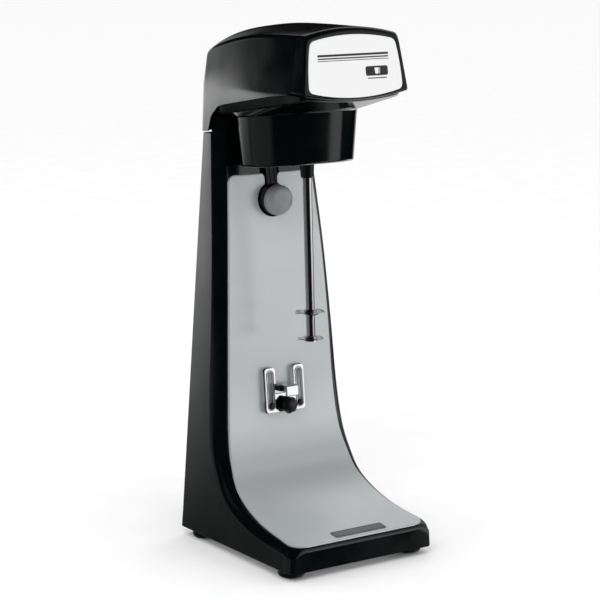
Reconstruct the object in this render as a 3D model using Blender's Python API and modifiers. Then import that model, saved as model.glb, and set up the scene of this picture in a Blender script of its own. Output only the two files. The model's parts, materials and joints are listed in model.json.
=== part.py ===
"""Single-spindle drink mixer on a column stand.

Front is -Y, up is +Z, and the origin is the middle of the footprint on the floor.
Lengths below are in millimetres; the helpers turn them into metres.
"""
import math

import bmesh
import bpy
from mathutils import Vector

MM = 0.001
MERGE = 0.00005
GAP = 0.3

# Driving dimensions
BASE_HALF_WIDTH = 85.5
REAR_Y = 97.0
FRONT_Y = -100.0
FOOT_HEIGHT = 8.0
FOOT_RADIUS = 13.5
COLUMN_TOP = 426.0
COLUMN_REAR_TOP = 409.0
SIDE_TAPER = 0.0736
WALL = 3.0
BACK_WALL = 5.0

LINER_THICKNESS = 2.0
LINER_RECESS = 2.4
LINER_PROUD = 1.6
LINER_SIDE_GAP = 0.4
LINER_TOP = 369.0
LINER_CORNER = 14.0
LINER_TOP_CORNER = 8.0
RIM_DEPTH = 18.0
FRONT_RIM_DEPTH = 12.0
BASE_CORNER = 10.0

# Front line of the liner from the head down and out over the base: (y, z, half width)
FRONT_LINE = (
    (66.5, 426.0, 45.0),
    (58.9, 359.0, 50.5),
    (50.7, 291.0, 55.9),
    (44.6, 216.0, 60.3),
    (40.6, 152.0, 63.2),
    (35.3, 111.0, 66.4),
    (25.4, 84.8, 69.8),
    (7.2, 60.9, 72.9),
    (-34.9, 43.0, 76.0),
    (-98.0, 33.6, 78.6),
)

# Label on the liner, over the base: size, thickness and place (x, y)
LABEL_SIZE = (60.0, 12.0)
LABEL_THICKNESS = 0.6
LABEL_PLACE = (2.5, -88.4)

# Rounding of the base's front edge: (distance from the front, drop)
NOSE = ((1.6, 0.3), (0.8, 1.6), (0.2, 3.6), (0.0, 6.5))

# Seam between the head cover and the motor housing: (y, z)
SEAM_LINE = (
    (104.0, 411.0),
    (84.0, 411.5),
    (79.5, 416.0),
    (76.0, 426.0),
    (68.7, 433.0),
    (57.6, 439.0),
    (18.0, 446.0),
    (-25.0, 453.5),
    (-63.6, 458.4),
    (-104.0, 463.0),
)

# Head: values that change along its depth, as (y, value)
COVER_LOW_HALF_WIDTH = ((-85.0, 60.6), (-20.0, 60.4), (60.0, 59.2), (97.0, 58.2))
COVER_TOP_HALF_WIDTH = ((-85.0, 53.5), (0.0, 54.8), (60.0, 55.0), (97.0, 53.4))
COVER_EDGE_Z = ((-85.0, 512.8), (-17.0, 511.0), (26.0, 506.5), (77.0, 495.0), (97.0, 486.0))
COVER_CROWN_Z = (
    (-85.0, 520.0), (8.0, 519.4), (50.0, 515.4), (80.0, 510.5), (92.0, 506.0), (97.0, 498.0),
)
HEAD_LOW_Z = 405.0
HEAD_HIGH_LOW_Z = 458.5
COVER_WALL = 2.6
COVER_REAR_CORNER = 8.0
BEZEL_SEAM_Y = -63.6

BEZEL_LOW_Y = -86.0
BEZEL_TOP_Y = -78.0
BEZEL_LOW_Z = 458.5
BEZEL_TOP_Z = 512.8
BEZEL_LOW_BOW = 6.0
BEZEL_BAND = 3.6
PLATE_THICKNESS = 1.6
PLATE_PROUD = 0.4

# Edges of outlines on the head's front: (half width, z, bow)
BEZEL_TOP_EDGE = (53.5, BEZEL_TOP_Z, 7.2)
BEZEL_LOW_EDGE = (60.6, BEZEL_LOW_Z, BEZEL_LOW_BOW)
BEZEL_CORNER = 3.0
PLATE_TOP_EDGE = (48.6, 507.8, 5.6)
PLATE_LOW_EDGE = (53.8, 460.9, 6.4)
PLATE_SIDE_BOW = 1.4
PLATE_CORNER = 5.0

POT_BOTTOM_Z = 384.0
POT_BOTTOM_SLOPE = 0.1
POT_BOTTOM = (54.8, 42.0, 12.0)
POT_TOP_Z = 434.5
POT_TOP_SLOPE = 0.105
POT_TOP = (58.4, 45.5, 13.5)
POT_ROUNDNESS = 2.7
FLANGE = (60.4, 79.0, -5.0)
FLANGE_SQUARENESS = 9.0
HEAD_POINTS = 44
FLANGE_LOW_Z = ((-84.0, 457.0), (-68.5, 451.4), (-25.0, 443.6), (27.0, 435.0), (74.0, 427.8))

# Spindle: a line that leans forward as it goes down
SPINDLE_Y = -3.9
SPINDLE_Z = 380.8
SPINDLE_LEAN = math.radians(-2.4)
SPINDLE_RADIUS = 4.5
SPINDLE_END = -172.0
ROTOR_RADIUS = 4.0

# Start lever
PIVOT_Y = 71.0
PIVOT_Z = 376.0
CAP_Z = 342.6
CAP_RADIUS = 15.3
CAP_FRONT_Y = 39.6
CAP_BACK_Y = 49.8
LEVER_HEAD_BACK_Y = 58.4
NECK_HALF_WIDTH = 6.2
NOTCH_HALF_WIDTH = 7.6
LINER_KEYHOLE_RADIUS = 17.3
HOUSING_KEYHOLE_RADIUS = 18.0
HOUSING_NOTCH_HALF_WIDTH = 11.4
KEYHOLE_DROP = 0.4
SWITCH_Z = 357.0
SWITCH_FRONT_Y = 68.6
PLUNGER_TIP_Y = 62.3

# Cup rest
REST_SLOPE = math.atan(0.1)
REST_Y = 35.4
REST_Z = 152.5
REST_THICKNESS = 2.0
REST_HALF_WIDTH = 23.2
REST_HALF_HEIGHT = 22.5
PRONG_WIDTH = 12.0
SLOT_WIDTH = 6.0
SLOT_LENGTH = 38.0
GUIDE_X = REST_HALF_WIDTH - PRONG_WIDTH / 2
KNOB_DROP = 16.0
KNOB_RADIUS = 8.7

# Speed rocker: its frame (length, height), place and angle at rest
ROCKER_FRAME = (30.0, 22.0)
ROCKER_PLACE = (58.7, 12.0, 478.0)
ROCKER_REST = math.radians(-9.0)

# Rear panel and cord inlet
REAR_PANEL_WIDTH = 88.0
REAR_PANEL_LOW = 34.0
REAR_PANEL_HIGH = 392.0
REAR_PANEL_THICKNESS = 2.5
REAR_SCREW_INSET = 3.6
CORD_INLET_Z = 22.0

# Orientations for flat outlines
FACING_FRONT = (math.pi / 2, 0.0, 0.0)
FACING_SIDE = (math.pi / 2, 0.0, math.pi / 2)

for old_object in list(bpy.data.objects):
    bpy.data.objects.remove(old_object, do_unlink=True)

MIXER = bpy.data.collections.new("drink_mixer")
CUTTERS = bpy.data.collections.new("cutters")
bpy.context.scene.collection.children.link(MIXER)
bpy.context.scene.collection.children.link(CUTTERS)


# Materials

def material(name, colour, roughness, metallic=0.0):
    """A Principled material."""
    made = bpy.data.materials.new(name)
    made.use_nodes = True
    shader = made.node_tree.nodes["Principled BSDF"]
    shader.inputs["Base Color"].default_value = (*colour, 1.0)
    shader.inputs["Roughness"].default_value = roughness
    shader.inputs["Metallic"].default_value = metallic
    return made


BLACK_GLOSS = material("black_gloss", (0.012, 0.012, 0.013), 0.12)
BLACK_MATTE = material("black_matte", (0.02, 0.02, 0.02), 0.55)
SILVER_PAINT = material("silver_paint", (0.56, 0.57, 0.58), 0.38, 0.25)
STEEL = material("steel", (0.62, 0.62, 0.63), 0.25, 1.0)
CHROME = material("chrome", (0.85, 0.85, 0.86), 0.06, 1.0)
ZINC = material("zinc_plate", (0.5, 0.5, 0.52), 0.4, 1.0)
RUBBER = material("rubber", (0.015, 0.015, 0.015), 0.7)
GREY_PLASTIC = material("grey_plastic", (0.42, 0.43, 0.44), 0.45)
PLATE_WHITE = material("plate_white", (0.85, 0.86, 0.87), 0.22)
LABEL_GREY = material("label_grey", (0.35, 0.36, 0.37), 0.45)
COPPER = material("copper", (0.72, 0.36, 0.18), 0.35, 1.0)
CORE_STEEL = material("core_steel", (0.25, 0.25, 0.27), 0.5, 1.0)
CARBON = material("carbon", (0.03, 0.03, 0.03), 0.6)


# Shape helpers

def place(made, finish, parent=None, location=(0, 0, 0), rotation=(0, 0, 0)):
    """Puts an object in the mixer's collection with its material, parent and place."""
    MIXER.objects.link(made)
    made.data.materials.append(finish)
    made.location = Vector(location) * MM
    made.rotation_euler = rotation
    made.parent = parent
    return made


def as_cutter(made):
    """Moves an object to the cutters, which are no part of the mixer."""
    MIXER.objects.unlink(made)
    CUTTERS.objects.link(made)
    made.hide_render = True
    made.display_type = "WIRE"
    return made


def frame(name, location, rotation=(0, 0, 0), parent=None):
    """An empty that carries the pieces of one joint or one tilted group."""
    empty = bpy.data.objects.new(name, None)
    MIXER.objects.link(empty)
    empty.location = Vector(location) * MM
    empty.rotation_euler = rotation
    empty.parent = parent
    return empty


def from_bmesh(name, bm):
    """An object that holds a finished bmesh."""
    mesh = bpy.data.meshes.new(name)
    bm.to_mesh(mesh)
    bm.free()
    return bpy.data.objects.new(name, mesh)


def smooth(made, degrees=35):
    """Smooth shading with sharp edges kept."""
    made.data.shade_smooth()
    made.data.set_sharp_from_angle(angle=math.radians(degrees))
    return made


def bevel(made, width, segments=1):
    """Rounded edges on a finished solid."""
    modifier = made.modifiers.new("Bevel", "BEVEL")
    modifier.width = width * MM
    modifier.segments = segments
    modifier.limit_method = "ANGLE"
    modifier.angle_limit = math.radians(40)
    return made


def block(name, size, finish, rounding=0.0, **where):
    """A box with its centre at its origin."""
    bm = bmesh.new()
    bmesh.ops.create_cube(bm, size=1.0)
    bmesh.ops.scale(bm, vec=Vector(size) * MM, verts=bm.verts)
    made = place(from_bmesh(name, bm), finish, **where)
    if rounding:
        bevel(made, rounding)
    return made


def cylinder(name, radius, length, finish, sides=32, **where):
    """A cylinder along local Z with its centre at its origin."""
    bm = bmesh.new()
    bmesh.ops.create_cone(
        bm, cap_ends=True, segments=sides, radius1=radius * MM, radius2=radius * MM, depth=length * MM
    )
    return smooth(place(from_bmesh(name, bm), finish, **where))


def turned(name, profile, finish, sides=32, ring=False, **where):
    """A turned piece: (radius, height) points run down its outer side; a ring's profile is closed."""
    bm = bmesh.new()
    corners = [bm.verts.new((radius * MM, 0.0, height * MM)) for radius, height in profile]
    for one, other in zip(corners, corners[1:]):
        bm.edges.new((one, other))
    if ring:
        bm.edges.new((corners[-1], corners[0]))
    made = place(from_bmesh(name, bm), finish, **where)
    screw = made.modifiers.new("Screw", "SCREW")
    screw.steps = sides
    screw.render_steps = sides
    screw.use_merge_vertices = True
    screw.merge_threshold = MERGE
    screw.use_smooth_shade = True
    return made


def plate(name, outlines, thickness, finish, rounding=0.0, **where):
    """A flat piece: the first outline is its edge and the others are holes in it."""
    curve = bpy.data.curves.new(name, "CURVE")
    curve.dimensions = "2D"
    curve.fill_mode = "BOTH"
    curve.extrude = thickness / 2 * MM
    for outline in outlines:
        spline = curve.splines.new("POLY")
        spline.points.add(len(outline) - 1)
        for point, (x, y) in zip(spline.points, outline):
            point.co = (x * MM, y * MM, 0.0, 1.0)
        spline.use_cyclic_u = True
    guide = bpy.data.objects.new(name + "_outline", curve)
    bpy.context.scene.collection.objects.link(guide)
    bpy.context.view_layer.update()
    evaluated = guide.evaluated_get(bpy.context.evaluated_depsgraph_get())
    mesh = bpy.data.meshes.new_from_object(evaluated)
    bpy.data.objects.remove(guide, do_unlink=True)
    bm = bmesh.new()
    bm.from_mesh(mesh)
    bmesh.ops.remove_doubles(bm, verts=bm.verts, dist=MERGE / 10)
    bmesh.ops.recalc_face_normals(bm, faces=bm.faces)
    bm.to_mesh(mesh)
    bm.free()
    mesh.name = name
    made = place(bpy.data.objects.new(name, mesh), finish, **where)
    if rounding:
        bevel(made, rounding)
    return made


def loft(name, rings, finish, **where):
    """A solid through rings of equally many points, closed at both ends."""
    bm = bmesh.new()
    loops = [[bm.verts.new(Vector(point) * MM) for point in ring] for ring in rings]
    for lower, upper in zip(loops, loops[1:]):
        for i, corner in enumerate(lower):
            j = (i + 1) % len(lower)
            bm.faces.new((corner, lower[j], upper[j], upper[i]))
    bm.faces.new(list(reversed(loops[0])))
    bm.faces.new(loops[-1])
    bmesh.ops.recalc_face_normals(bm, faces=bm.faces)
    return smooth(place(from_bmesh(name, bm), finish, **where))


def tube(name, points, radius, finish, resolution=2, **where):
    """A round wire along a run of points."""
    curve = bpy.data.curves.new(name, "CURVE")
    curve.dimensions = "3D"
    curve.bevel_depth = radius * MM
    curve.bevel_resolution = resolution
    curve.use_fill_caps = True
    spline = curve.splines.new("POLY")
    spline.points.add(len(points) - 1)
    for point, position in zip(spline.points, points):
        point.co = (*(Vector(position) * MM), 1.0)
    return place(bpy.data.objects.new(name, curve), finish, **where)


def boolean(made, other, operation="DIFFERENCE"):
    """Cuts a piece with another, or joins the other to it."""
    modifier = made.modifiers.new(other.name, "BOOLEAN")
    modifier.object = other
    modifier.operation = operation
    return made


def join(made, other):
    """Joins another solid to a piece."""
    return boolean(made, as_cutter(other), "UNION")


# Outlines and curves

def arc(centre, radius, start, end, steps):
    """Points on an arc, angles in degrees."""
    angles = [math.radians(start + (end - start) * i / steps) for i in range(steps + 1)]
    return [(centre[0] + radius * math.cos(a), centre[1] + radius * math.sin(a)) for a in angles]


def rounded_rectangle(width, height, radius, centre=(0.0, 0.0), steps=4):
    """A rectangle with round corners."""
    x, y = width / 2 - radius, height / 2 - radius
    points = []
    for sign_x, sign_y, start in ((1, 1, 0), (-1, 1, 90), (-1, -1, 180), (1, -1, 270)):
        corner = (centre[0] + sign_x * x, centre[1] + sign_y * y)
        points += arc(corner, radius, start, start + 90, steps)
    return points


def keyhole(radius, centre_z, half_width, top, flare):
    """A round hole with a slot that leaves it upwards and flares at the top."""
    side = math.degrees(math.acos(half_width / radius))
    low = arc((0.0, centre_z), radius, side, -180 - side, 22)
    left = arc((-half_width - flare, top - flare), flare, 0, 90, 4)
    right = arc((half_width + flare, top - flare), flare, 90, 180, 4)
    above = top + 70.0
    return low + left + [(-half_width - flare, above), (half_width + flare, above)] + right


def through(points, steps):
    """A smooth curve through points, with equally many steps in each span."""
    ends = (points[0], *points, points[-1])
    curve = []
    for before, start, end, after in zip(ends, ends[1:], ends[2:], ends[3:]):
        for i in range(steps):
            t = i / steps
            curve.append(tuple(
                0.5 * (2 * b + (c - a) * t + (2 * a - 5 * b + 4 * c - d) * t ** 2
                       + (3 * b - a - 3 * c + d) * t ** 3)
                for a, b, c, d in zip(before, start, end, after)
            ))
    return curve + [points[-1]]


def value_at(table, position):
    """The value at a position of a smooth curve through (position, value) pairs."""
    slopes = []
    for i in range(len(table)):
        low, high = table[max(i - 1, 0)], table[min(i + 1, len(table) - 1)]
        slopes.append((high[1] - low[1]) / (high[0] - low[0]))
    position = min(max(position, table[0][0]), table[-1][0])
    span = next(i for i in range(1, len(table)) if position <= table[i][0]) - 1
    (x0, y0), (x1, y1) = table[span], table[span + 1]
    width = x1 - x0
    t = (position - x0) / width
    return (
        (2 * t ** 3 - 3 * t ** 2 + 1) * y0
        + (t ** 3 - 2 * t ** 2 + t) * width * slopes[span]
        + (3 * t ** 2 - 2 * t ** 3) * y1
        + (t ** 3 - t ** 2) * width * slopes[span + 1]
    )


def corner_inset(distance, radius):
    """How far a rounded corner stands in from the side, at a distance from the end."""
    if distance >= radius:
        return 0.0
    return radius - math.sqrt(max(radius ** 2 - (radius - distance) ** 2, 0.0))


def side_x(z):
    """Half width of the column and base at a height."""
    return BASE_HALF_WIDTH - SIDE_TAPER * (z - FOOT_HEIGHT)


def superellipse(half_x, half_y, centre_y, power, count):
    """Points round a squarish oval, at equal angles from its centre."""
    points = []
    for i in range(count):
        angle = 2 * math.pi * (i + 0.5) / count
        c, s = math.cos(angle), math.sin(angle)
        reach = (abs(c / half_x) ** power + abs(s / half_y) ** power) ** (-1 / power)
        points.append((reach * c, centre_y + reach * s))
    return points


# Column, base and liner

def front_stations():
    """Stations down the front line: (y, z, half width, ray y, ray z) with a unit inward ray."""
    line = [point for point in through(FRONT_LINE, 4) if point[0] > FRONT_LINE[-1][0] + LINER_CORNER]
    end_y, end_z, end_width = FRONT_LINE[-1]
    slope = (line[-1][1] - end_z) / (line[-1][0] - end_y)
    line += [
        (end_y + part * LINER_CORNER, end_z + part * LINER_CORNER * slope, end_width)
        for part in (0.95, 0.6, 0.3, 0.1, 0.0)
    ]
    stations = []
    for i, (y, z, half_width) in enumerate(line):
        before, after = line[max(i - 1, 0)], line[min(i + 1, len(line) - 1)]
        angle = math.atan2(before[0] - after[0], before[1] - after[1])
        angle = 0.0 if i == 0 else angle
        angle = math.pi / 2 if y < -60.0 else angle
        stations.append((y, z, half_width, math.cos(angle), -math.sin(angle)))
    return stations


def housing_ring(station, back, bottom, front, side_wall, rim_depth, lip, recess=None, rim_steps=5):
    """One section of the housing, from a side's back edge round the rim to the other side."""
    y, z, half_width, ray_y, ray_z = station
    to_back = (back - y) / ray_y if ray_y > 0.01 else 1e9
    to_bottom = (bottom - z) / ray_z if ray_z < -0.01 else 1e9
    reach = min(to_back, to_bottom)
    inset = corner_inset(y - front, BASE_CORNER)

    def at(depth, x):
        return (x, y + ray_y * depth, z + ray_z * depth)

    def wall_x(depth):
        return side_x(z + ray_z * depth) - side_wall - inset

    half = [at(reach, wall_x(reach))]
    edge = wall_x(rim_depth)
    for i in range(rim_steps + 1):
        angle = math.pi / 2 * i / rim_steps
        x = half_width + (edge - half_width) * math.cos(angle)
        half.append(at(rim_depth - (rim_depth - lip) * math.sin(angle), x))
    if recess is not None:
        half.append(at(recess, half_width))
    return half + [(-x, y, z) for x, y, z in reversed(half)]


def with_corner(stations, back, bottom):
    """Turns the ray that passes nearest the back bottom corner so that it meets it."""
    def miss(station):
        y, z, _, ray_y, ray_z = station
        return abs((back - y) * ray_z - (bottom - z) * ray_y)

    nearest = min(range(len(stations)), key=lambda i: miss(stations[i]))
    y, z, half_width, _, _ = stations[nearest]
    length = math.hypot(back - y, bottom - z)
    stations[nearest] = (y, z, half_width, (back - y) / length, (bottom - z) / length)
    return stations


def outer_rings():
    """Sections of the housing's outside, with the recess for the liner."""
    stations = with_corner(front_stations(), REAR_Y, FOOT_HEIGHT)
    liner_end, end_z, end_width = stations[-1][:3]
    rings = []
    for y, z, half_width, ray_y, ray_z in stations:
        width = half_width + LINER_SIDE_GAP - corner_inset(y - liner_end, LINER_CORNER)
        station = (y, z, width, ray_y, ray_z)
        depth = RIM_DEPTH if y > 0 else RIM_DEPTH + (RIM_DEPTH - FRONT_RIM_DEPTH) * y / -FRONT_Y
        rings.append(housing_ring(
            station, REAR_Y, FOOT_HEIGHT, FRONT_Y, 0.0, depth, LINER_PROUD, LINER_RECESS,
        ))
    for away, drop in NOSE:
        station = (FRONT_Y + away, end_z - drop, end_width - LINER_CORNER, 0.0, -1.0)
        rings.append(housing_ring(
            station, REAR_Y, FOOT_HEIGHT, FRONT_Y - 1.5, 0.0, FRONT_RIM_DEPTH, LINER_PROUD, LINER_PROUD + 0.1,
        ))
    return rings


def hollow_rings():
    """Sections of the hollow in the housing, which runs out of its top and bottom."""
    back, bottom, front = REAR_Y - BACK_WALL, FOOT_HEIGHT - 2.0, FRONT_Y + WALL
    stations = [s for s in front_stations() if s[0] > front + BASE_CORNER]
    end_z, end_width = FRONT_LINE[-1][1:]
    for away in (BASE_CORNER, 0.6 * BASE_CORNER, 0.3 * BASE_CORNER, 0.1 * BASE_CORNER, 0.0):
        stations.append((front + away, end_z, end_width - 8.0, 0.0, -1.0))
    stations = with_corner(stations, back, bottom)
    y, z, half_width, ray_y, ray_z = stations[0]
    stations.insert(0, (y, z + 5.0, half_width, ray_y, ray_z))
    return [
        housing_ring(
            (y, z, half_width - 4.0, ray_y, ray_z), back, bottom, front, WALL, RIM_DEPTH + 3.0,
            LINER_RECESS + WALL, rim_steps=1,
        )
        for y, z, half_width, ray_y, ray_z in stations
    ]


def make_housing():
    """Column and base in one hollow shell, open at the bottom, the top and the back."""
    housing = loft("column_housing", outer_rings(), BLACK_GLOSS)
    boolean(housing, as_cutter(loft("housing_hollow", hollow_rings(), BLACK_GLOSS)))
    rear_step = block(
        "rear_step_cutter", (140, 40, 60), BLACK_GLOSS, location=(0, REAR_Y - 16 + 20, COLUMN_REAR_TOP + 30)
    )
    boolean(housing, as_cutter(rear_step))
    window_middle = (REAR_PANEL_LOW + REAR_PANEL_HIGH) / 2
    height = REAR_PANEL_HIGH - REAR_PANEL_LOW
    for name, width, tall, depth in (
        ("rear_window_cutter", REAR_PANEL_WIDTH - 12, height - 12, 20.0),
        ("rear_recess_cutter", REAR_PANEL_WIDTH, height, 2 * (REAR_PANEL_THICKNESS + GAP)),
    ):
        cutter = block(name, (width, depth, tall), BLACK_GLOSS, location=(0, REAR_Y, window_middle))
        boolean(housing, as_cutter(cutter))
    for x, z in rear_screw_places():
        boolean(housing, rear_screw_cutter(x, z))
    outline = keyhole(
        HOUSING_KEYHOLE_RADIUS, CAP_Z - KEYHOLE_DROP, HOUSING_NOTCH_HALF_WIDTH, COLUMN_TOP + 20.0, 2.0
    )
    boolean(housing, as_cutter(plate(
        "housing_keyhole_cutter", [outline], 60.0, BLACK_GLOSS, location=(0, 52, 0), rotation=FACING_FRONT
    )))
    for side in (-1, 1):
        boolean(housing, guide_cutter(side))
    boolean(housing, as_cutter(cylinder(
        "cord_inlet_cutter", 6.4, 20, BLACK_GLOSS, location=(0, REAR_Y, CORD_INLET_Z), rotation=FACING_FRONT
    )))
    return housing


def liner_rings():
    """Sections of the liner, which lies in the recess of the housing."""
    below_top = [s for s in front_stations() if s[1] < LINER_TOP - LINER_CORNER]
    first_y, first_z, first_width, ray_y, ray_z = below_top[0]
    lean = (FRONT_LINE[0][0] - FRONT_LINE[1][0]) / (FRONT_LINE[0][1] - FRONT_LINE[1][1])
    taper = (FRONT_LINE[1][2] - FRONT_LINE[0][2]) / (FRONT_LINE[0][1] - FRONT_LINE[1][1])
    stations = []
    for share in (0.0, 0.1, 0.35, 0.7):
        z = LINER_TOP - LINER_CORNER * share
        rise = z - first_z
        width = first_width - rise * taper - corner_inset(LINER_TOP - z, LINER_TOP_CORNER)
        stations.append((first_y + rise * lean, z, width, ray_y, ray_z))
    stations += below_top
    sections = []
    for y, z, full_width, ray_y, ray_z in stations:
        half_width = full_width - corner_inset(y - FRONT_LINE[-1][0], LINER_CORNER)
        back_y, back_z = y + ray_y * LINER_THICKNESS, z + ray_z * LINER_THICKNESS
        sections.append([
            (-half_width, y, z), (half_width, y, z), (half_width, back_y, back_z), (-half_width, back_y, back_z),
        ])
    return sections


def make_liner():
    """Sheet liner down the column and over the base, with the lever's keyhole and two screw holes."""
    liner = loft("splash_liner", liner_rings(), SILVER_PAINT)
    outline = keyhole(LINER_KEYHOLE_RADIUS, CAP_Z - KEYHOLE_DROP, NOTCH_HALF_WIDTH, LINER_TOP, 6.0)
    boolean(liner, as_cutter(plate(
        "liner_keyhole_cutter", [outline], 40.0, SILVER_PAINT, location=(0, 58, 0), rotation=FACING_FRONT
    )))
    for side in (-1, 1):
        boolean(liner, bpy.data.objects[guide_cutter_name(side)])
    x, y = LABEL_PLACE
    ahead = max((s for s in front_stations() if s[0] < y), key=lambda s: s[0])
    behind = min((s for s in front_stations() if s[0] >= y), key=lambda s: s[0])
    slope = (behind[1] - ahead[1]) / (behind[0] - ahead[0])
    plate(
        "label_strip", [rounded_rectangle(*LABEL_SIZE, 1.5)], LABEL_THICKNESS, LABEL_GREY,
        location=(x, y, ahead[1] + slope * (y - ahead[0]) + LABEL_THICKNESS / 2 + GAP),
        rotation=(math.atan(slope), 0, 0),
    )


# Rear panel, base plate and feet

def rear_screw_places():
    """Places of the rear panel's screws, in its top and bottom edges."""
    return [(0.0, REAR_PANEL_LOW + REAR_SCREW_INSET), (0.0, REAR_PANEL_HIGH - REAR_SCREW_INSET)]


def rear_screw_cutter(x, z):
    """Hole for a rear screw's shank, through the panel and the ledge behind it."""
    name = f"rear_screw_cutter_{int(x)}_{int(z)}"
    if name in bpy.data.objects:
        return bpy.data.objects[name]
    return as_cutter(cylinder(
        name, 1.8, 30, ZINC, 10, location=(x, REAR_Y, z), rotation=FACING_FRONT
    ))


def make_rear_panel():
    """Panel that closes the column's back, its two screws and the cord inlet bush."""
    middle = (REAR_PANEL_LOW + REAR_PANEL_HIGH) / 2
    size = (REAR_PANEL_WIDTH - 2 * GAP, REAR_PANEL_THICKNESS, REAR_PANEL_HIGH - REAR_PANEL_LOW - 2 * GAP)
    panel = block(
        "rear_panel", size, BLACK_MATTE, location=(0, REAR_Y - REAR_PANEL_THICKNESS / 2, middle)
    )
    for number, (x, z) in enumerate(rear_screw_places(), 1):
        boolean(panel, rear_screw_cutter(x, z))
        counterbore = cylinder(
            f"rear_screw_recess_{number}", 3.3, 3.0, ZINC, 12,
            location=(x, REAR_Y, z), rotation=FACING_FRONT,
        )
        boolean(panel, as_cutter(counterbore))
        turned(
            f"rear_panel_screw_{number}",
            ((0, 5.0), (1.5, 5.0), (1.5, 0.0), (3.0, 0.0), (3.0, -1.0), (2.2, -1.4), (0, -1.4)),
            ZINC, 12, location=(x, REAR_Y - 1.5, z), rotation=FACING_FRONT,
        )
    bush_profile = ((3.6, 6.0), (6.1, 6.0), (6.1, 0.0), (3.6, 0.0))
    turned(
        "cord_inlet_bush", bush_profile, RUBBER, 20, ring=True,
        location=(0, REAR_Y, CORD_INLET_Z), rotation=FACING_FRONT,
    )


def foot_places():
    """Places of the four feet, with their names."""
    return (
        ("front_left", -69.3, -79.0), ("front_right", 69.3, -79.0),
        ("rear_left", -69.3, 76.0), ("rear_right", 69.3, 76.0),
    )


def make_base():
    """Base plate in the bottom of the housing, with four rubber feet screwed to it."""
    thickness = 2.0
    middle_z = FOOT_HEIGHT + 0.4 + thickness / 2
    outline = rounded_rectangle(2 * 80.8, 2 * 92.5, 9.0)
    bottom = plate("base_plate", [outline], thickness, ZINC, location=(0, -2.5, middle_z))
    for place_name, x, y in foot_places():
        hole = cylinder(f"foot_hole_{place_name}", 2.3, 20, ZINC, 12, location=(x, y, middle_z))
        boolean(bottom, as_cutter(hole))
        turned(
            f"foot_{place_name}",
            (
                (2.6, FOOT_HEIGHT - GAP), (FOOT_RADIUS, FOOT_HEIGHT - GAP), (FOOT_RADIUS, 3.5),
                (FOOT_RADIUS - 1.4, 1.0), (FOOT_RADIUS - 3.6, 0.0), (5.0, 0.0), (5.0, 4.0), (2.6, 4.0),
            ),
            RUBBER, 20, ring=True, location=(x, y, 0),
        )
        turned(
            f"foot_screw_{place_name}",
            ((0, 15.0), (2.0, 15.0), (2.0, 3.7), (4.2, 3.7), (4.2, 2.2), (3.2, 1.3), (0, 1.3)),
            ZINC, 14, location=(x, y, 0),
        )


# Head

def cover_ring(y, wall, low_z):
    """A section of the head cover, across the head."""
    inset = corner_inset(REAR_Y - wall - y, COVER_REAR_CORNER)
    low_x = value_at(COVER_LOW_HALF_WIDTH, y) - wall - inset
    top_x = value_at(COVER_TOP_HALF_WIDTH, y) - wall - inset
    edge_z = value_at(COVER_EDGE_Z, y) - wall
    crown_z = value_at(COVER_CROWN_Z, y) - wall
    lean = (low_x - top_x) / (edge_z - HEAD_HIGH_LOW_Z)
    foot_x = low_x + lean * (HEAD_HIGH_LOW_Z - low_z) * 0.25

    def top_z(x):
        return crown_z - (crown_z - edge_z) * (x / top_x) ** 2

    half = [(foot_x, low_z), (low_x, HEAD_HIGH_LOW_Z), (top_x + 4 * lean, edge_z - 4)]
    half.append((top_x - 0.7, edge_z - 0.9))
    half += [(top_x * part, top_z(top_x * part)) for part in (0.92, 0.8, 0.6, 0.4, 0.2)]
    ring = half + [(0.0, crown_z)] + [(-x, z) for x, z in reversed(half)]
    return [(x, y, z) for x, z in ring]


def seam_cutter(name, above, gap):
    """Everything above or below the seam line, as a prism across the head."""
    line = [(y, z + gap) for y, z in through(SEAM_LINE, 4)]
    far = 540.0 if above else 380.0
    outline = line + [(line[-1][0], far), (line[0][0], far)]
    return as_cutter(plate(name, [outline], 160.0, BLACK_GLOSS, rotation=FACING_SIDE))


def make_head_cover():
    """Head cover: a shell that is open below and in front."""
    rear = REAR_Y
    stations = [BEZEL_SEAM_Y + GAP, -40, -10, 15, 35, 55, 70, 80]
    stations += [rear - COVER_REAR_CORNER * part for part in (1.0, 0.6, 0.35, 0.15, 0.04, 0.0)]
    outer = [cover_ring(y, 0.0, HEAD_LOW_Z) for y in stations]
    inner_rear = rear - COVER_WALL
    inner_stations = [BEZEL_SEAM_Y - 5] + stations[1:8]
    inner_stations += [inner_rear - COVER_REAR_CORNER * part for part in (0.6, 0.35, 0.15, 0.04)]
    inner = [cover_ring(y, COVER_WALL, HEAD_LOW_Z - 5) for y in inner_stations]
    cover = loft("head_cover", outer, BLACK_GLOSS)
    boolean(cover, as_cutter(loft("head_cover_hollow", inner, BLACK_GLOSS)))
    boolean(cover, seam_cutter("below_seam_cutter", above=False, gap=GAP / 2))
    tilt = rocker_tilt()
    boolean(cover, as_cutter(block(
        "rocker_opening_cutter", (30, ROCKER_FRAME[0] + 2 * GAP, ROCKER_FRAME[1] + 2 * GAP), BLACK_GLOSS,
        location=ROCKER_PLACE, rotation=(0, tilt, 0),
    )))


def softened(outline, reach, steps=3):
    """Rounds each marked corner of an outline of (x, z, is_corner) points."""
    points = []
    for i, (x, z, is_corner) in enumerate(outline):
        if not is_corner:
            points.append((x, z))
            continue
        ends = []
        for other in (outline[i - 1], outline[(i + 1) % len(outline)]):
            length = math.hypot(other[0] - x, other[1] - z)
            ends.append((x + (other[0] - x) * reach / length, z + (other[1] - z) * reach / length))
        for j in range(steps + 1):
            t = j / steps
            a, b, c = (1 - t) ** 2, 2 * t * (1 - t), t ** 2
            points.append((a * ends[0][0] + b * x + c * ends[1][0], a * ends[0][1] + b * z + c * ends[1][1]))
    return points


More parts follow.
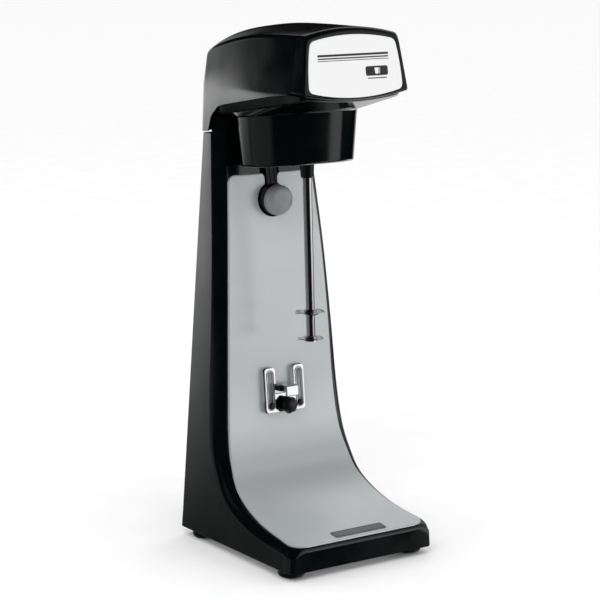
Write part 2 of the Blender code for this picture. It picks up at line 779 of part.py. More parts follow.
def front_outline(top_edge, low_edge, side_bow, corner, inset):
    """An outline on the head's front, between two (half width, z, bow) edges: (x, z) points."""
    top_x, top_z, top_bow = top_edge
    low_x, low_z, low_bow = low_edge
    top_x, top_z, low_x, low_z = top_x - inset, top_z - inset, low_x - inset, low_z + inset
    count = 10
    top, low = [], []
    for i in range(count + 1):
        t = 1 - 2 * i / count
        top.append((top_x * t, top_z + top_bow * (1 - t ** 2), abs(t) == 1))
        low.append((-low_x * t, low_z - low_bow * (1 - t ** 2), abs(t) == 1))
    side = []
    for share in (0.25, 0.5, 0.75):
        bow = 4 * side_bow * share * (1 - share)
        side.append((top_x + (low_x - top_x) * share + bow, top_z + (low_z - top_z) * share, False))
    left = [(-x, z, is_corner) for x, z, is_corner in side]
    return softened(top + left + low + list(reversed(side)), corner)


def bezel_front_y(z):
    """Depth of the leaning front plane at a height."""
    return BEZEL_LOW_Y + (z - BEZEL_LOW_Z) * (BEZEL_TOP_Y - BEZEL_LOW_Y) / (BEZEL_TOP_Z - BEZEL_LOW_Z)


def bezel_ring(inset, behind=None):
    """A section of the bezel: at the flat rear seam, or a distance behind the leaning front."""
    ring = []
    for x, z in front_outline(BEZEL_TOP_EDGE, BEZEL_LOW_EDGE, 0.0, BEZEL_CORNER, inset):
        y = BEZEL_SEAM_Y if behind is None else bezel_front_y(z) + behind
        ring.append((x, y, z))
    return ring


def plate_ring(inset, behind):
    """A section of the nameplate or its recess, a distance behind the leaning front."""
    outline = front_outline(PLATE_TOP_EDGE, PLATE_LOW_EDGE, PLATE_SIDE_BOW, PLATE_CORNER, inset)
    return [(x, bezel_front_y(z) + behind, z) for x, z in outline]


def make_bezel():
    """Front frame of the head and the nameplate set into it."""
    bezel = loft("front_bezel", [bezel_ring(0), bezel_ring(0, 1.5), bezel_ring(1.2, 0)], BLACK_GLOSS)
    opening_rear = [(x, BEZEL_SEAM_Y + 2, z) for x, _, z in plate_ring(BEZEL_BAND, 0)]
    opening = loft("bezel_opening", [opening_rear, plate_ring(BEZEL_BAND, -2)], BLACK_GLOSS)
    boolean(bezel, as_cutter(opening))
    recess = [plate_ring(0, PLATE_THICKNESS), plate_ring(0, -2)]
    boolean(bezel, as_cutter(loft("nameplate_recess", recess, BLACK_GLOSS)))
    loft("nameplate", [plate_ring(GAP, PLATE_THICKNESS - GAP), plate_ring(GAP, -PLATE_PROUD)], PLATE_WHITE)


def flange_z(x, y):
    """Lower edge of the flange, which bows down under the bezel."""
    bow = BEZEL_LOW_BOW * (1 - min(abs(x) / FLANGE[0], 1) ** 2)
    share = min(max((-y - 40.0) / 44.0, 0.0), 1.0)
    return value_at(FLANGE_LOW_Z, y) - bow * share


def pot_ring(shape, inset, height, slope, rise=0.0):
    """A section of the pot, in a plane that rises towards the front."""
    half_x, half_y, centre_y = shape
    points = superellipse(half_x - inset, half_y - inset, centre_y, POT_ROUNDNESS, HEAD_POINTS)
    return [(x, y, height - slope * (y - SPINDLE_Y) + rise) for x, y in points]


def flange_ring(inset, front_inset, height=None, rise=0.0):
    """A section of the flange: at its lower edge, or at one height."""
    half_x, half_y, centre_y = FLANGE
    points = superellipse(half_x - inset, half_y - inset, centre_y, FLANGE_SQUARENESS, HEAD_POINTS)
    front = centre_y - half_y + front_inset
    ring = []
    for x, y in points:
        y = max(y, front)
        ring.append((x, y, flange_z(x, y) + rise if height is None else height))
    return ring


def make_motor_housing():
    """Motor housing: the pot, the flange above it and the chin under the bezel, in one shell."""
    outer = [
        pot_ring(POT_BOTTOM, 2.4, POT_BOTTOM_Z, POT_BOTTOM_SLOPE),
        pot_ring(POT_BOTTOM, 0.6, POT_BOTTOM_Z, POT_BOTTOM_SLOPE, 0.8),
        pot_ring(POT_BOTTOM, 0.0, POT_BOTTOM_Z, POT_BOTTOM_SLOPE, 2.8),
        pot_ring(POT_TOP, 0.0, POT_TOP_Z, POT_TOP_SLOPE),
        flange_ring(0.6, 0.0),
        flange_ring(0.0, 0.0, rise=0.8),
        flange_ring(0.0, 0.0, height=475.0),
    ]
    inner = [
        pot_ring(POT_BOTTOM, WALL, POT_BOTTOM_Z, POT_BOTTOM_SLOPE, WALL),
        pot_ring(POT_TOP, WALL, POT_TOP_Z, POT_TOP_SLOPE, WALL),
        flange_ring(WALL, 36.0, rise=WALL),
        flange_ring(WALL, 36.0, height=480.0),
    ]
    housing = loft("motor_housing", outer, BLACK_GLOSS)
    boolean(housing, as_cutter(loft("motor_housing_hollow", inner, BLACK_GLOSS)))
    boolean(housing, seam_cutter("above_seam_cutter", above=True, gap=-GAP / 2))
    bezel_space = loft(
        "bezel_space_cutter",
        [[(x, BEZEL_SEAM_Y + GAP, z) for x, _, z in bezel_ring(-GAP)], bezel_ring(-GAP, -10)],
        BLACK_GLOSS,
    )
    boolean(housing, as_cutter(bezel_space))
    boolean(housing, as_cutter(cylinder(
        "spindle_hole_cutter", 8.6, 20, BLACK_GLOSS, 28, location=(0, SPINDLE_Y, POT_BOTTOM_Z + 2)
    )))
    boolean(housing, as_cutter(block("wire_way_cutter", (30, 9, 30), BLACK_GLOSS, location=(0, 66.5, 430))))


# Motor, on the leaning axis of the spindle

def bearing_plate(name, height, half_x, half_y, axis):
    """A plate that holds a ball bearing across the motor."""
    outline = rounded_rectangle(2 * half_x, 2 * half_y, 5.0)
    bore = arc((0.0, 0.0), 11.6, 0, 348.75, 31)
    return plate(name, [outline, bore], 3.0, ZINC, parent=axis, location=(0, 0, height))


def ball_bearing(name, height, axis):
    """A ball bearing as one closed ring with a groove in its upper face."""
    profile = (
        (6.2, 3.5), (6.2, 3.0), (9.4, 3.0), (9.4, 3.5), (11.0, 3.5), (11.0, -3.5), (4.4, -3.5), (4.4, 3.5),
    )
    return turned(name, profile, STEEL, 18, ring=True, parent=axis, location=(0, 0, height))


def make_motor(stator_axis, rotor_axis):
    """Universal motor: field and brushes stand still, armature, commutator and fan turn."""
    bearing_plate("lower_bearing_plate", 16.0, 17.0, 14.0, stator_axis)
    bearing_plate("upper_bearing_plate", 113.0, 30.0, 14.0, stator_axis)
    ball_bearing("lower_bearing", 16.0, stator_axis)
    ball_bearing("upper_bearing", 113.0, stator_axis)
    bore = arc((0.0, 0.0), 17.2, 0, 352.5, 47)
    plate(
        "stator_core", [rounded_rectangle(62, 45, 10.0), bore], 34.0, CORE_STEEL,
        parent=stator_axis, location=(0, 0, 66.0),
    )
    for side, name in ((-1, "left"), (1, "right")):
        for level, height in (("lower", 42.4), ("upper", 89.6)):
            block(
                f"field_coil_{level}_{name}", (11, 34, 12), COPPER, 3.0,
                parent=stator_axis, location=(side * 25.0, 0, height),
            )
        block(
            f"brush_{name}", (8.0, 5.0, 6.0), CARBON, parent=stator_axis, location=(side * 14.6, 0, 101.0)
        )
        holder_outlines = [rounded_rectangle(9, 8, 0.8), rounded_rectangle(6.6, 5.6, 0.2)]
        plate(
            f"brush_holder_{name}", holder_outlines, 14.0, ZINC,
            parent=stator_axis, location=(side * 18.9, 0, 101.0), rotation=(0, math.pi / 2, 0),
        )
    cylinder("rotor_shaft", ROTOR_RADIUS, 114.0, STEEL, 20, parent=rotor_axis, location=(0, 0, 60.5))
    turned(
        "armature_core", ((4.3, 17.0), (16.2, 17.0), (16.2, -17.0), (4.3, -17.0)), CORE_STEEL, 20,
        ring=True, parent=rotor_axis, location=(0, 0, 66.0),
    )
    for level, height in (("lower", 43.4), ("upper", 88.6)):
        turned(
            f"armature_winding_{level}",
            ((4.3, 5.2), (9.0, 5.2), (13.0, 2.0), (14.0, -2.0), (12.0, -5.2), (4.3, -5.2)),
            COPPER, 16, ring=True, parent=rotor_axis, location=(0, 0, height),
        )
    turned(
        "commutator", ((4.3, 4.6), (10.2, 4.6), (10.2, -4.6), (4.3, -4.6)), COPPER, 18,
        ring=True, parent=rotor_axis, location=(0, 0, 101.0),
    )
    make_fan(rotor_axis)


def make_fan(rotor_axis):
    """Cooling fan: a disc with a hub and straight blades."""
    fan = turned(
        "cooling_fan", ((4.3, 8.0), (8.0, 8.0), (8.0, 1.6), (19.5, 1.6), (19.5, 0.0), (4.3, 0.0)), BLACK_MATTE,
        20, ring=True, parent=rotor_axis, location=(0, 0, 24.0),
    )
    blades = 8
    for number in range(blades):
        turn = 2 * math.pi * number / blades
        middle = (13.0 * math.cos(turn), 13.0 * math.sin(turn), 28.2)
        blade = block(
            f"fan_blade_{number}", (12.6, 1.4, 7.6), BLACK_MATTE,
            parent=rotor_axis, location=middle, rotation=(0, 0, turn),
        )
        join(fan, blade)


# Spindle and agitators

def make_agitator(name, radius, height, waves, depth, rotor_axis):
    """A wavy mixing disc with a hub."""
    sides, thickness, bore = 24, 1.2, SPINDLE_RADIUS + 0.15
    bm = bmesh.new()
    rows = []
    for part in (0.0, 0.5, 1.0):
        reach = bore + (radius - bore) * part
        row = []
        for i in range(sides):
            turn = 2 * math.pi * i / sides
            lift = depth * part ** 2 * math.sin(waves * turn)
            row.append(bm.verts.new(Vector((reach * math.cos(turn), reach * math.sin(turn), lift)) * MM))
        rows.append(row)
    for near, far in zip(rows, rows[1:]):
        for i in range(sides):
            j = (i + 1) % sides
            bm.faces.new((near[i], far[i], far[j], near[j]))
    disc = place(from_bmesh(name, bm), STEEL, parent=rotor_axis, location=(0, 0, height))
    solidify = disc.modifiers.new("Solidify", "SOLIDIFY")
    solidify.thickness = thickness * MM
    solidify.offset = 0.0
    hub = turned(
        f"{name}_hub", ((bore + 0.02, 2.6), (6.3, 2.6), (6.3, -2.6), (bore + 0.02, -2.6)), STEEL, sides,
        ring=True, parent=rotor_axis, location=(0, 0, height),
    )
    join(disc, hub)
    return smooth(disc)


def make_spindle(rotor_axis):
    """Coupling under the pot, the mixing shaft and its two agitators."""
    turned(
        "spindle_coupling",
        (
            (0.0, 2.0), (4.3, 2.0), (4.3, 7.0), (6.9, 7.0), (7.35, 6.4), (7.0, 0.0), (6.4, -8.6),
            (5.9, -10.2), (4.8, -10.8), (4.8, -4.0), (0.0, -4.0),
        ),
        BLACK_MATTE, 20, parent=rotor_axis,
    )
    turned(
        "spindle_shaft",
        (
            (0.0, -4.4), (SPINDLE_RADIUS, -4.4), (SPINDLE_RADIUS, SPINDLE_END + 1.2),
            (SPINDLE_RADIUS - 1.2, SPINDLE_END), (0.0, SPINDLE_END),
        ),
        STEEL, 24, parent=rotor_axis,
    )
    make_agitator("agitator_upper", 14.75, -142.6, 4, 0.9, rotor_axis)
    make_agitator("agitator_lower", 12.75, SPINDLE_END + 3.2, 6, 0.5, rotor_axis)


# Start lever, its pin, spring and switch

def make_start_lever(pivot):
    """Lever behind the cup rim, its grey cap, and what it turns on and presses."""
    cap_drop = CAP_Z - PIVOT_Z
    neck_front_top = 61.0 - PIVOT_Y
    neck_front_low = LEVER_HEAD_BACK_Y - 4.0 - PIVOT_Y
    web = [
        (neck_front_low, cap_drop + 4), (neck_front_low + 4.2, cap_drop + 4), (neck_front_top + 4.2, -6.0),
        (-1.0, -5.0), *arc((0, 0), 5.0, -60, 90, 6), (neck_front_top + 2.0, 5.0), (neck_front_top, 3.0),
    ]
    lever = plate(
        "actuator_lever", [web, arc((0, 0), 2.4, 0, 330, 11)], 2 * NECK_HALF_WIDTH, BLACK_MATTE,
        parent=pivot, rotation=FACING_SIDE,
    )
    head_length = LEVER_HEAD_BACK_Y - CAP_BACK_Y
    head = cylinder(
        "lever_head", CAP_RADIUS + 0.2, head_length, BLACK_MATTE, 24, parent=pivot,
        location=(0, (LEVER_HEAD_BACK_Y + CAP_BACK_Y) / 2 - PIVOT_Y, cap_drop), rotation=FACING_FRONT,
    )
    join(lever, head)
    depth = CAP_BACK_Y - CAP_FRONT_Y
    turned(
        "actuator_cap",
        (
            (0.0, depth), (9.0, depth - 0.2), (12.6, depth - 0.9), (14.2, depth - 2.0), (14.9, depth - 3.4),
            (CAP_RADIUS, depth - 4.4), (CAP_RADIUS, 3.4), (CAP_RADIUS - 0.9, 3.0), (CAP_RADIUS - 0.9, 2.2),
            (CAP_RADIUS, 1.8), (CAP_RADIUS, GAP), (0.0, GAP),
        ),
        GREY_PLASTIC, 24, parent=pivot, location=(0, CAP_BACK_Y - PIVOT_Y, cap_drop), rotation=FACING_FRONT,
    )
    across = (0, math.pi / 2, 0)
    pin_place = (0, PIVOT_Y, PIVOT_Z)
    cylinder("lever_pivot_pin", 2.0, 26.0, STEEL, 16, location=pin_place, rotation=across)
    coils, steps = 2, 10
    spring = [
        (3.2 * math.cos(2 * math.pi * i / steps), 3.2 * math.sin(2 * math.pi * i / steps), 0.8 * i / steps)
        for i in range(coils * steps + 1)
    ]
    tube(
        "lever_return_spring", spring, 0.35, STEEL, 1,
        location=(NECK_HALF_WIDTH + 0.8, PIVOT_Y, PIVOT_Z), rotation=across,
    )


def make_switch(plunger_frame):
    """Bracket in the column that holds the pin and the start switch, and the switch's plunger."""
    ear_x, flange_x, sheet = 9.4, 21.0, 1.6
    front_y, rear_y = 69.6, 90.0
    low, high = 344.0, 383.0
    hat = [
        (-flange_x, front_y), (-ear_x - sheet, front_y), (-ear_x - sheet, front_y - 3.4),
        (-ear_x, front_y - 3.4), (-ear_x, rear_y - sheet), (ear_x, rear_y - sheet), (ear_x, front_y - 3.4),
        (ear_x + sheet, front_y - 3.4), (ear_x + sheet, front_y), (flange_x, front_y),
        (flange_x, front_y + sheet), (ear_x + sheet, front_y + sheet), (ear_x + sheet, rear_y),
        (-ear_x - sheet, rear_y), (-ear_x - sheet, front_y + sheet), (-flange_x, front_y + sheet),
    ]
    bracket = plate("switch_bracket", [hat], high - low, ZINC, location=(0, 0, (low + high) / 2))
    boolean(bracket, as_cutter(cylinder(
        "pin_hole_cutter", 2.3, 60.0, ZINC, 16,
        location=(0, PIVOT_Y, PIVOT_Z), rotation=(0, math.pi / 2, 0),
    )))
    switch = block(
        "start_switch", (11.0, 16.0, 20.0), BLACK_MATTE, location=(0, SWITCH_FRONT_Y + 8.0, SWITCH_Z)
    )
    boolean(switch, as_cutter(block(
        "plunger_hole_cutter", (4.0, 12.0, 4.0), BLACK_MATTE, location=(0, SWITCH_FRONT_Y, SWITCH_Z)
    )))
    block("switch_plunger", (3.2, 8.0, 3.2), GREY_PLASTIC, parent=plunger_frame, location=(0, 4.0, 0))


# Speed rocker on the head's right side

def rocker_tilt():
    """Lean of the head's side wall where the rocker sits."""
    y = ROCKER_PLACE[1]
    drop = value_at(COVER_LOW_HALF_WIDTH, y) - value_at(COVER_TOP_HALF_WIDTH, y)
    return -math.atan(drop / (value_at(COVER_EDGE_Z, y) - HEAD_HIGH_LOW_Z))


def make_rocker():
    """Rocker switch: a frame in the cover's side, and the rocker that tips in it."""
    tilt = rocker_tilt()
    seat = frame("rocker_seat", ROCKER_PLACE, (0, tilt, 0))
    holder = block("rocker_frame", (12.0, *ROCKER_FRAME), BLACK_MATTE, parent=seat, location=(-4.4, 0, 0))
    boolean(holder, as_cutter(block(
        "rocker_pocket_cutter", (12.0, 24.0, 16.0), BLACK_MATTE, parent=seat, location=(-2.4, 0, 0)
    )))
    hinge = frame("rocker_hinge", (-3.0, 0, 0), parent=seat)
    paddle = [(-3.2, -5.6), (3.4, -6.6), (2.5, 0.0), (3.4, 6.6), (-3.2, 5.6)]
    plate(
        "speed_rocker", [paddle], 22.0, BLACK_GLOSS, parent=hinge,
        rotation=(math.pi / 2, ROCKER_REST, 0),
    )


# Cup rest

def guide_cutter_name(side):
    """Name of the cutter for one guide screw's hole."""
    return f"guide_hole_cutter_{side}"


def guide_place(side):
    """Place of a guide screw in the cup rest's frame."""
    return (side * GUIDE_X, 0.0, -SLOT_LENGTH / 2 + SLOT_WIDTH / 2)


def guide_cutter(side):
    """Hole for a guide screw through the liner and the column's front wall."""
    return as_cutter(cylinder(
        guide_cutter_name(side), 2.4, 40, STEEL, 14,
        parent=bpy.data.objects["cup_rest_home"], location=guide_place(side), rotation=FACING_FRONT,
    ))


def bracket_outlines():
    """Outline of the slotted bracket, an H with a low crossbar, and its holes."""
    x, z, inner = REST_HALF_WIDTH, REST_HALF_HEIGHT, REST_HALF_WIDTH - PRONG_WIDTH
    bar_top, r = 4.0, 3.0
    outline = arc((x - r, z - r), r, 0, 90, 3) + arc((inner + r, z - r), r, 90, 180, 3)
    outline += [(inner, bar_top), (-inner, bar_top)]
    outline += arc((-inner - r, z - r), r, 0, 90, 3) + arc((-x + r, z - r), r, 90, 180, 3)
    outline += arc((-x + r, -z + r), r, 180, 270, 3) + arc((x - r, -z + r), r, 270, 360, 3)
    holes = [
        rounded_rectangle(SLOT_WIDTH, SLOT_LENGTH, SLOT_WIDTH / 2 - 0.01, (side * GUIDE_X, 0.0))
        for side in (-1, 1)
    ]
    holes.append(arc((0.0, -KNOB_DROP), 2.6, 0, 330, 11))
    return [outline] + holes


def make_cup_rest(home, slide, knob_axis):
    """Slotted bracket with the cup's ledge, on two guide screws, with a clamp knob."""
    plate(
        "cup_rest_bracket", bracket_outlines(), REST_THICKNESS, CHROME,
        parent=slide, rotation=FACING_FRONT,
    )
    ledge_outline = [(-1.3, 5.6), (-14.4, 4.3), (-14.4, -6.4), (-11.6, -6.4), (-11.6, -1.2), (-1.3, -2.2)]
    plate(
        "cup_ledge", [ledge_outline], 14.0, CHROME, 0.6, parent=slide, rotation=FACING_SIDE,
    )
    lobes, count = 5, 30
    knob_outline = []
    for i in range(count):
        turn = 2 * math.pi * i / count
        reach = KNOB_RADIUS - 0.8 + 0.8 * math.cos(lobes * turn)
        knob_outline.append((reach * math.cos(turn), reach * math.sin(turn)))
    plate(
        "clamp_knob", [knob_outline], 9.0, BLACK_MATTE, 1.2,
        parent=knob_axis, location=(0, -7.8, 0), rotation=FACING_FRONT,
    )
    cylinder(
        "clamp_stud", 2.2, 4.8, ZINC, 14, parent=knob_axis, location=(0, -0.7, 0), rotation=FACING_FRONT
    )
    for side, name in ((-1, "left"), (1, "right")):
        x, y, z = guide_place(side)
        turned(
            f"guide_screw_{name}",
            ((0, 3.2), (1.6, 3.1), (3.4, 2.2), (3.7, 1.3), (2.1, 1.3), (2.1, -11.0), (0, -11.0)),
            STEEL, 18, parent=home, location=(x, y, z), rotation=FACING_FRONT,
        )


def make_terminal_block():
    """Terminal block for the supply wires, low in the column."""
    block("terminal_block", (36, 12, 16), BLACK_MATTE, 1.0, location=(0, 74, 26))


def make_mixer():
    """All the mixer's pieces, on the frames that carry them."""
    spindle_place = (0, SPINDLE_Y, SPINDLE_Z)
    lean = (SPINDLE_LEAN, 0, 0)
    stator_axis = frame("stator_axis", spindle_place, lean)
    rotor_axis = frame("rotor_axis", spindle_place, lean)
    pivot = frame("lever_pivot", (0, PIVOT_Y, PIVOT_Z))
    plunger_frame = frame("plunger_slide", (0, PLUNGER_TIP_Y, SWITCH_Z))
    slope = (-REST_SLOPE, 0, 0)
    home = frame("cup_rest_home", (0, REST_Y, REST_Z), slope)
    slide = frame("cup_rest_slide", (0, REST_Y, REST_Z), slope)
    knob_axis = frame("clamp_knob_axis", (0, 0, -KNOB_DROP), parent=slide)
    bpy.context.view_layer.update()
    make_housing()
    make_liner()
    make_rear_panel()
    make_base()
    make_head_cover()
    make_bezel()
    make_motor_housing()
    make_motor(stator_axis, rotor_axis)
    make_spindle(rotor_axis)
    make_start_lever(pivot)
    make_switch(plunger_frame)
    make_rocker()
    make_cup_rest(home, slide, knob_axis)
    make_terminal_block()


make_mixer()
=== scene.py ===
import json
import math

import bmesh
import bpy
from mathutils import Matrix, Vector


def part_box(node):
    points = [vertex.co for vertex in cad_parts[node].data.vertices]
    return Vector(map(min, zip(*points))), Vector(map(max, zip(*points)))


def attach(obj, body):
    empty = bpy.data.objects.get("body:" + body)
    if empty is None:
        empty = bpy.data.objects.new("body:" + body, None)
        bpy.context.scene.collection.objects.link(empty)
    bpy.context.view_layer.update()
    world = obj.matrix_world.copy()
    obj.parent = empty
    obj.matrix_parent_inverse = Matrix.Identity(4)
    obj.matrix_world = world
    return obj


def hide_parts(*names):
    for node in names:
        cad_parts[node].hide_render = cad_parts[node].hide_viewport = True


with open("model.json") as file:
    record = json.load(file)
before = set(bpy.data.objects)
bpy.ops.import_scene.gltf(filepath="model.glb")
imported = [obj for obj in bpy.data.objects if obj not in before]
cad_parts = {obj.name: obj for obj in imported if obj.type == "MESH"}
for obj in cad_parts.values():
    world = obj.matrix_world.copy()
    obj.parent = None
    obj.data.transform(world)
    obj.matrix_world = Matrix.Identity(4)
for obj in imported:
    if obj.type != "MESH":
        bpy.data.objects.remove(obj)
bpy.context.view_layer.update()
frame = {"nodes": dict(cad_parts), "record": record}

MM = 0.001
RECORD = frame["record"]
SCENE = bpy.context.scene


def cad_box(node):
    """Lowest and highest corner of a CAD node, in millimetres."""
    low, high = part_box(node)
    return low / MM, high / MM


def joint(name):
    """A joint's place, in millimetres, and its axis."""
    found = next(j for j in RECORD["behaviour"]["joints"] if j["name"] == name)
    place = found.get("pos_m") or found.get("origin_m") or (0, 0, 0)
    return Vector(place) / MM, Vector(found["axis"])


# Driving dimensions, as in the CAD part where it has them. A LINE's rows are (y, z) or (y, z, half width),
# the rows of other tables (y, value), and the edges of bezel and plate (half width, z, bow).
HOUSING_LOW, HOUSING_HIGH = cad_box("column_housing")
CAP_LOW, CAP_HIGH = cad_box("actuator_cap")
BASE_HALF_WIDTH, REAR_Y, FRONT_Y = HOUSING_HIGH.x, HOUSING_HIGH.y, HOUSING_LOW.y
FOOT_HEIGHT, COLUMN_TOP = HOUSING_LOW.z, HOUSING_HIGH.z
SIDE_TAPER = 0.0736
RIM_DEPTH, FRONT_RIM_DEPTH = 18.0, 12.0
BASE_CORNER, EDGE_RADII = 10.0, (1.5, 1.0)
HOUSING_WALL, RIM_WALL = 3.0, 4.0
LINER_TOP = cad_box("splash_liner")[1].z
LINER_CORNER, LINER_TOP_CORNER, LINER_ROLL = 14.0, 8.0, 1.5
LINER_THICKNESS, LINER_RECESS, LINER_PROUD, LINER_SIDE_GAP = 2.0, 2.4, 1.6, 0.4
FRONT_LINE = (
    (66.5, 426.0, 45.0), (58.9, 359.0, 50.5), (50.7, 291.0, 55.9), (44.6, 216.0, 60.3), (40.6, 152.0, 63.2),
    (35.3, 111.0, 66.4), (25.4, 84.8, 69.8), (7.2, 60.9, 72.9), (-34.9, 43.0, 76.0), (-98.0, 33.6, 78.6),
)
SEAM_LINE = (
    (104.0, 411.0), (84.0, 411.5), (79.5, 416.0), (76.0, 426.0), (68.7, 433.0), (57.6, 439.0),
    (18.0, 446.0), (-25.0, 453.5), (-63.6, 458.4), (-104.0, 463.0),
)
COVER_LOW_HALF_WIDTH = ((-85.0, 60.6), (-20.0, 60.4), (60.0, 59.2), (97.0, 58.2))
COVER_TOP_HALF_WIDTH = ((-85.0, 53.5), (0.0, 54.8), (60.0, 55.0), (97.0, 53.4))
COVER_CORNER, COVER_WALL = 8.0, 2.6
COVER_EDGE_Z = ((-85.0, 512.8), (-17.0, 511.0), (26.0, 506.5), (77.0, 495.0), (97.0, 486.0))
COVER_CROWN_Z = (
    (-85.0, 520.0), (8.0, 519.4), (50.0, 515.4), (80.0, 510.5), (92.0, 506.0), (97.0, 498.0),
)
HEAD_LOW_Z, SEAM_GAP = 405.0, 0.3
BEZEL_LOW_Z, BEZEL_TOP_Z = 458.5, 512.8
BEZEL_LOW_Y, BEZEL_TOP_Y, BEZEL_SEAM_Y = -86.0, -78.0, -63.6
BEZEL_TOP_EDGE, BEZEL_LOW_EDGE, BEZEL_CORNER = (53.5, BEZEL_TOP_Z, 7.2), (60.6, BEZEL_LOW_Z, 6.0), 3.0
PLATE_TOP_EDGE, PLATE_LOW_EDGE, PLATE_CORNER = (48.6, 507.8, 5.6), (53.8, 460.9, 6.4), 5.0
PLATE_SIDE_BOW, PLATE_THICKNESS, PLATE_LEDGE = 1.4, 1.6, 3.6
# The pot's ends as (half width, half depth, middle y) and (height at the spindle, rise towards the front)
POT_BOTTOM, POT_TOP = ((54.8, 42.0, 12.0), (384.0, 0.1)), ((58.4, 45.5, 13.5), (434.5, 0.105))
HEAD_POINTS = 168
POT_ROUNDNESS, POT_EDGE_RADIUS, MOTOR_WALL, SPINDLE_HOLE = 2.7, 2.6, 3.0, 8.6
FLANGE, FLANGE_SQUARENESS = (60.4, 79.0, -5.0), 9.0
FLANGE_LOW_Z = ((-84.0, 457.0), (-68.5, 451.4), (-25.0, 443.6), (27.0, 435.0), (74.0, 427.8))
SPINDLE, SPINDLE_AXIS = joint("spindle_spin")
SPINDLE_RADIUS, SPINDLE_END = 4.5, -172.0
PIVOT, _ = joint("start_lever_press")
CAP_MIDDLE = (CAP_LOW + CAP_HIGH) / 2
CAP_RADIUS = CAP_HIGH.x
CAP_BACK_Y, LEVER_HEAD_BACK_Y = 49.8, 58.4
NECK_HALF_WIDTH, NOTCH_HALF_WIDTH = 6.2, 7.6
KEYHOLE_Z = CAP_MIDDLE.z - 0.4
HOUSING_KEYHOLE, LINER_KEYHOLE_RADIUS = (18.0, 11.4), 17.3
LABEL_SIZE, LABEL_THICKNESS = (60.0, 12.0), 0.6
KNOB, _ = joint("clamp_knob_turn")
REST_SLOPE = math.atan(0.1)
REST = Vector((0.0, 35.4, 152.5))
REST_HALF_WIDTH, REST_HALF_HEIGHT, REST_THICKNESS, PRONG_WIDTH = 23.2, 22.5, 2.0, 12.0
SLOT_WIDTH, SLOT_LENGTH = 6.0, 38.0
GUIDE_X = REST_HALF_WIDTH - PRONG_WIDTH / 2
SIDES = ((-1, "left"), (1, "right"))
ROCKER_SEAT, ROCKER_SIZE = Vector((58.7, 12.0, 478.0)), (30.0, 22.0)
PANEL_LOW, PANEL_HIGH = 34.0, 392.0
PANEL_MIDDLE, PANEL_HEIGHT = (PANEL_LOW + PANEL_HIGH) / 2, PANEL_HIGH - PANEL_LOW
PANEL_WIDTH, PANEL_THICKNESS, PANEL_SCREW_INSET, PANEL_GAP = 88.0, 2.5, 3.6, 0.3
CORD_INLET_Z = 22.0

SLOT_OF = {row["node"]: row["material_slot"] for row in RECORD["subparts"]}
BODY_OF = {node: body for body, nodes in RECORD["behaviour"]["bodies"].items() for node in nodes}


# Camera, light and floor

CAMERA_TARGET, CAMERA_DISTANCE = Vector((-5.55, 0.0, 249.3)), 2091.4
CAMERA_AZIMUTH, CAMERA_PITCH = math.radians(34.43), math.radians(10.92)
CAMERA_LENS = 127.7


def add_object(name, data):
    """A new object in the scene."""
    made = bpy.data.objects.new(name, data)
    SCENE.collection.objects.link(made)
    return made


def adjust(made, **settings):
    """Sets some of a thing's properties."""
    for name, value in settings.items():
        setattr(made, name, value)
    return made


def make_camera():
    """Camera at the front left, a little above the mixer."""
    level = math.cos(CAMERA_PITCH)
    back = Vector((
        -math.sin(CAMERA_AZIMUTH) * level, -math.cos(CAMERA_AZIMUTH) * level, math.sin(CAMERA_PITCH)
    ))
    data = bpy.data.cameras.new("camera")
    data.lens = CAMERA_LENS
    data.sensor_width = 36.0
    data.clip_end = 400.0
    camera = add_object("camera", data)
    camera.location = (CAMERA_TARGET + back * CAMERA_DISTANCE) * MM
    camera.rotation_euler = (-back).to_track_quat("-Z", "Y").to_euler()
    SCENE.camera = camera


def fill(tree, made, inputs):
    """Puts a number, a colour or another node's output into each input named."""
    for name, value in dict(inputs).items():
        if isinstance(value, bpy.types.NodeSocket):
            tree.links.new(value, made.inputs[name])
        else:
            made.inputs[name].default_value = value


def shader_node(tree, kind, inputs=(), **settings):
    """A shader node with its settings and inputs."""
    made = adjust(tree.nodes.new("ShaderNode" + kind), **settings)
    fill(tree, made, inputs)
    return made


def math_node(tree, operation, *values):
    """A Math node; a value is a number or a socket."""
    return shader_node(tree, "Math", enumerate(values), operation=operation).outputs[0]


def ramp(tree, value, start, end, low=0.0, high=1.0):
    """A smooth step of a value."""
    inputs = {"Value": value, "From Min": start, "From Max": end, "To Min": low, "To Max": high}
    return shader_node(tree, "MapRange", inputs, interpolation_type="SMOOTHSTEP").outputs["Result"]


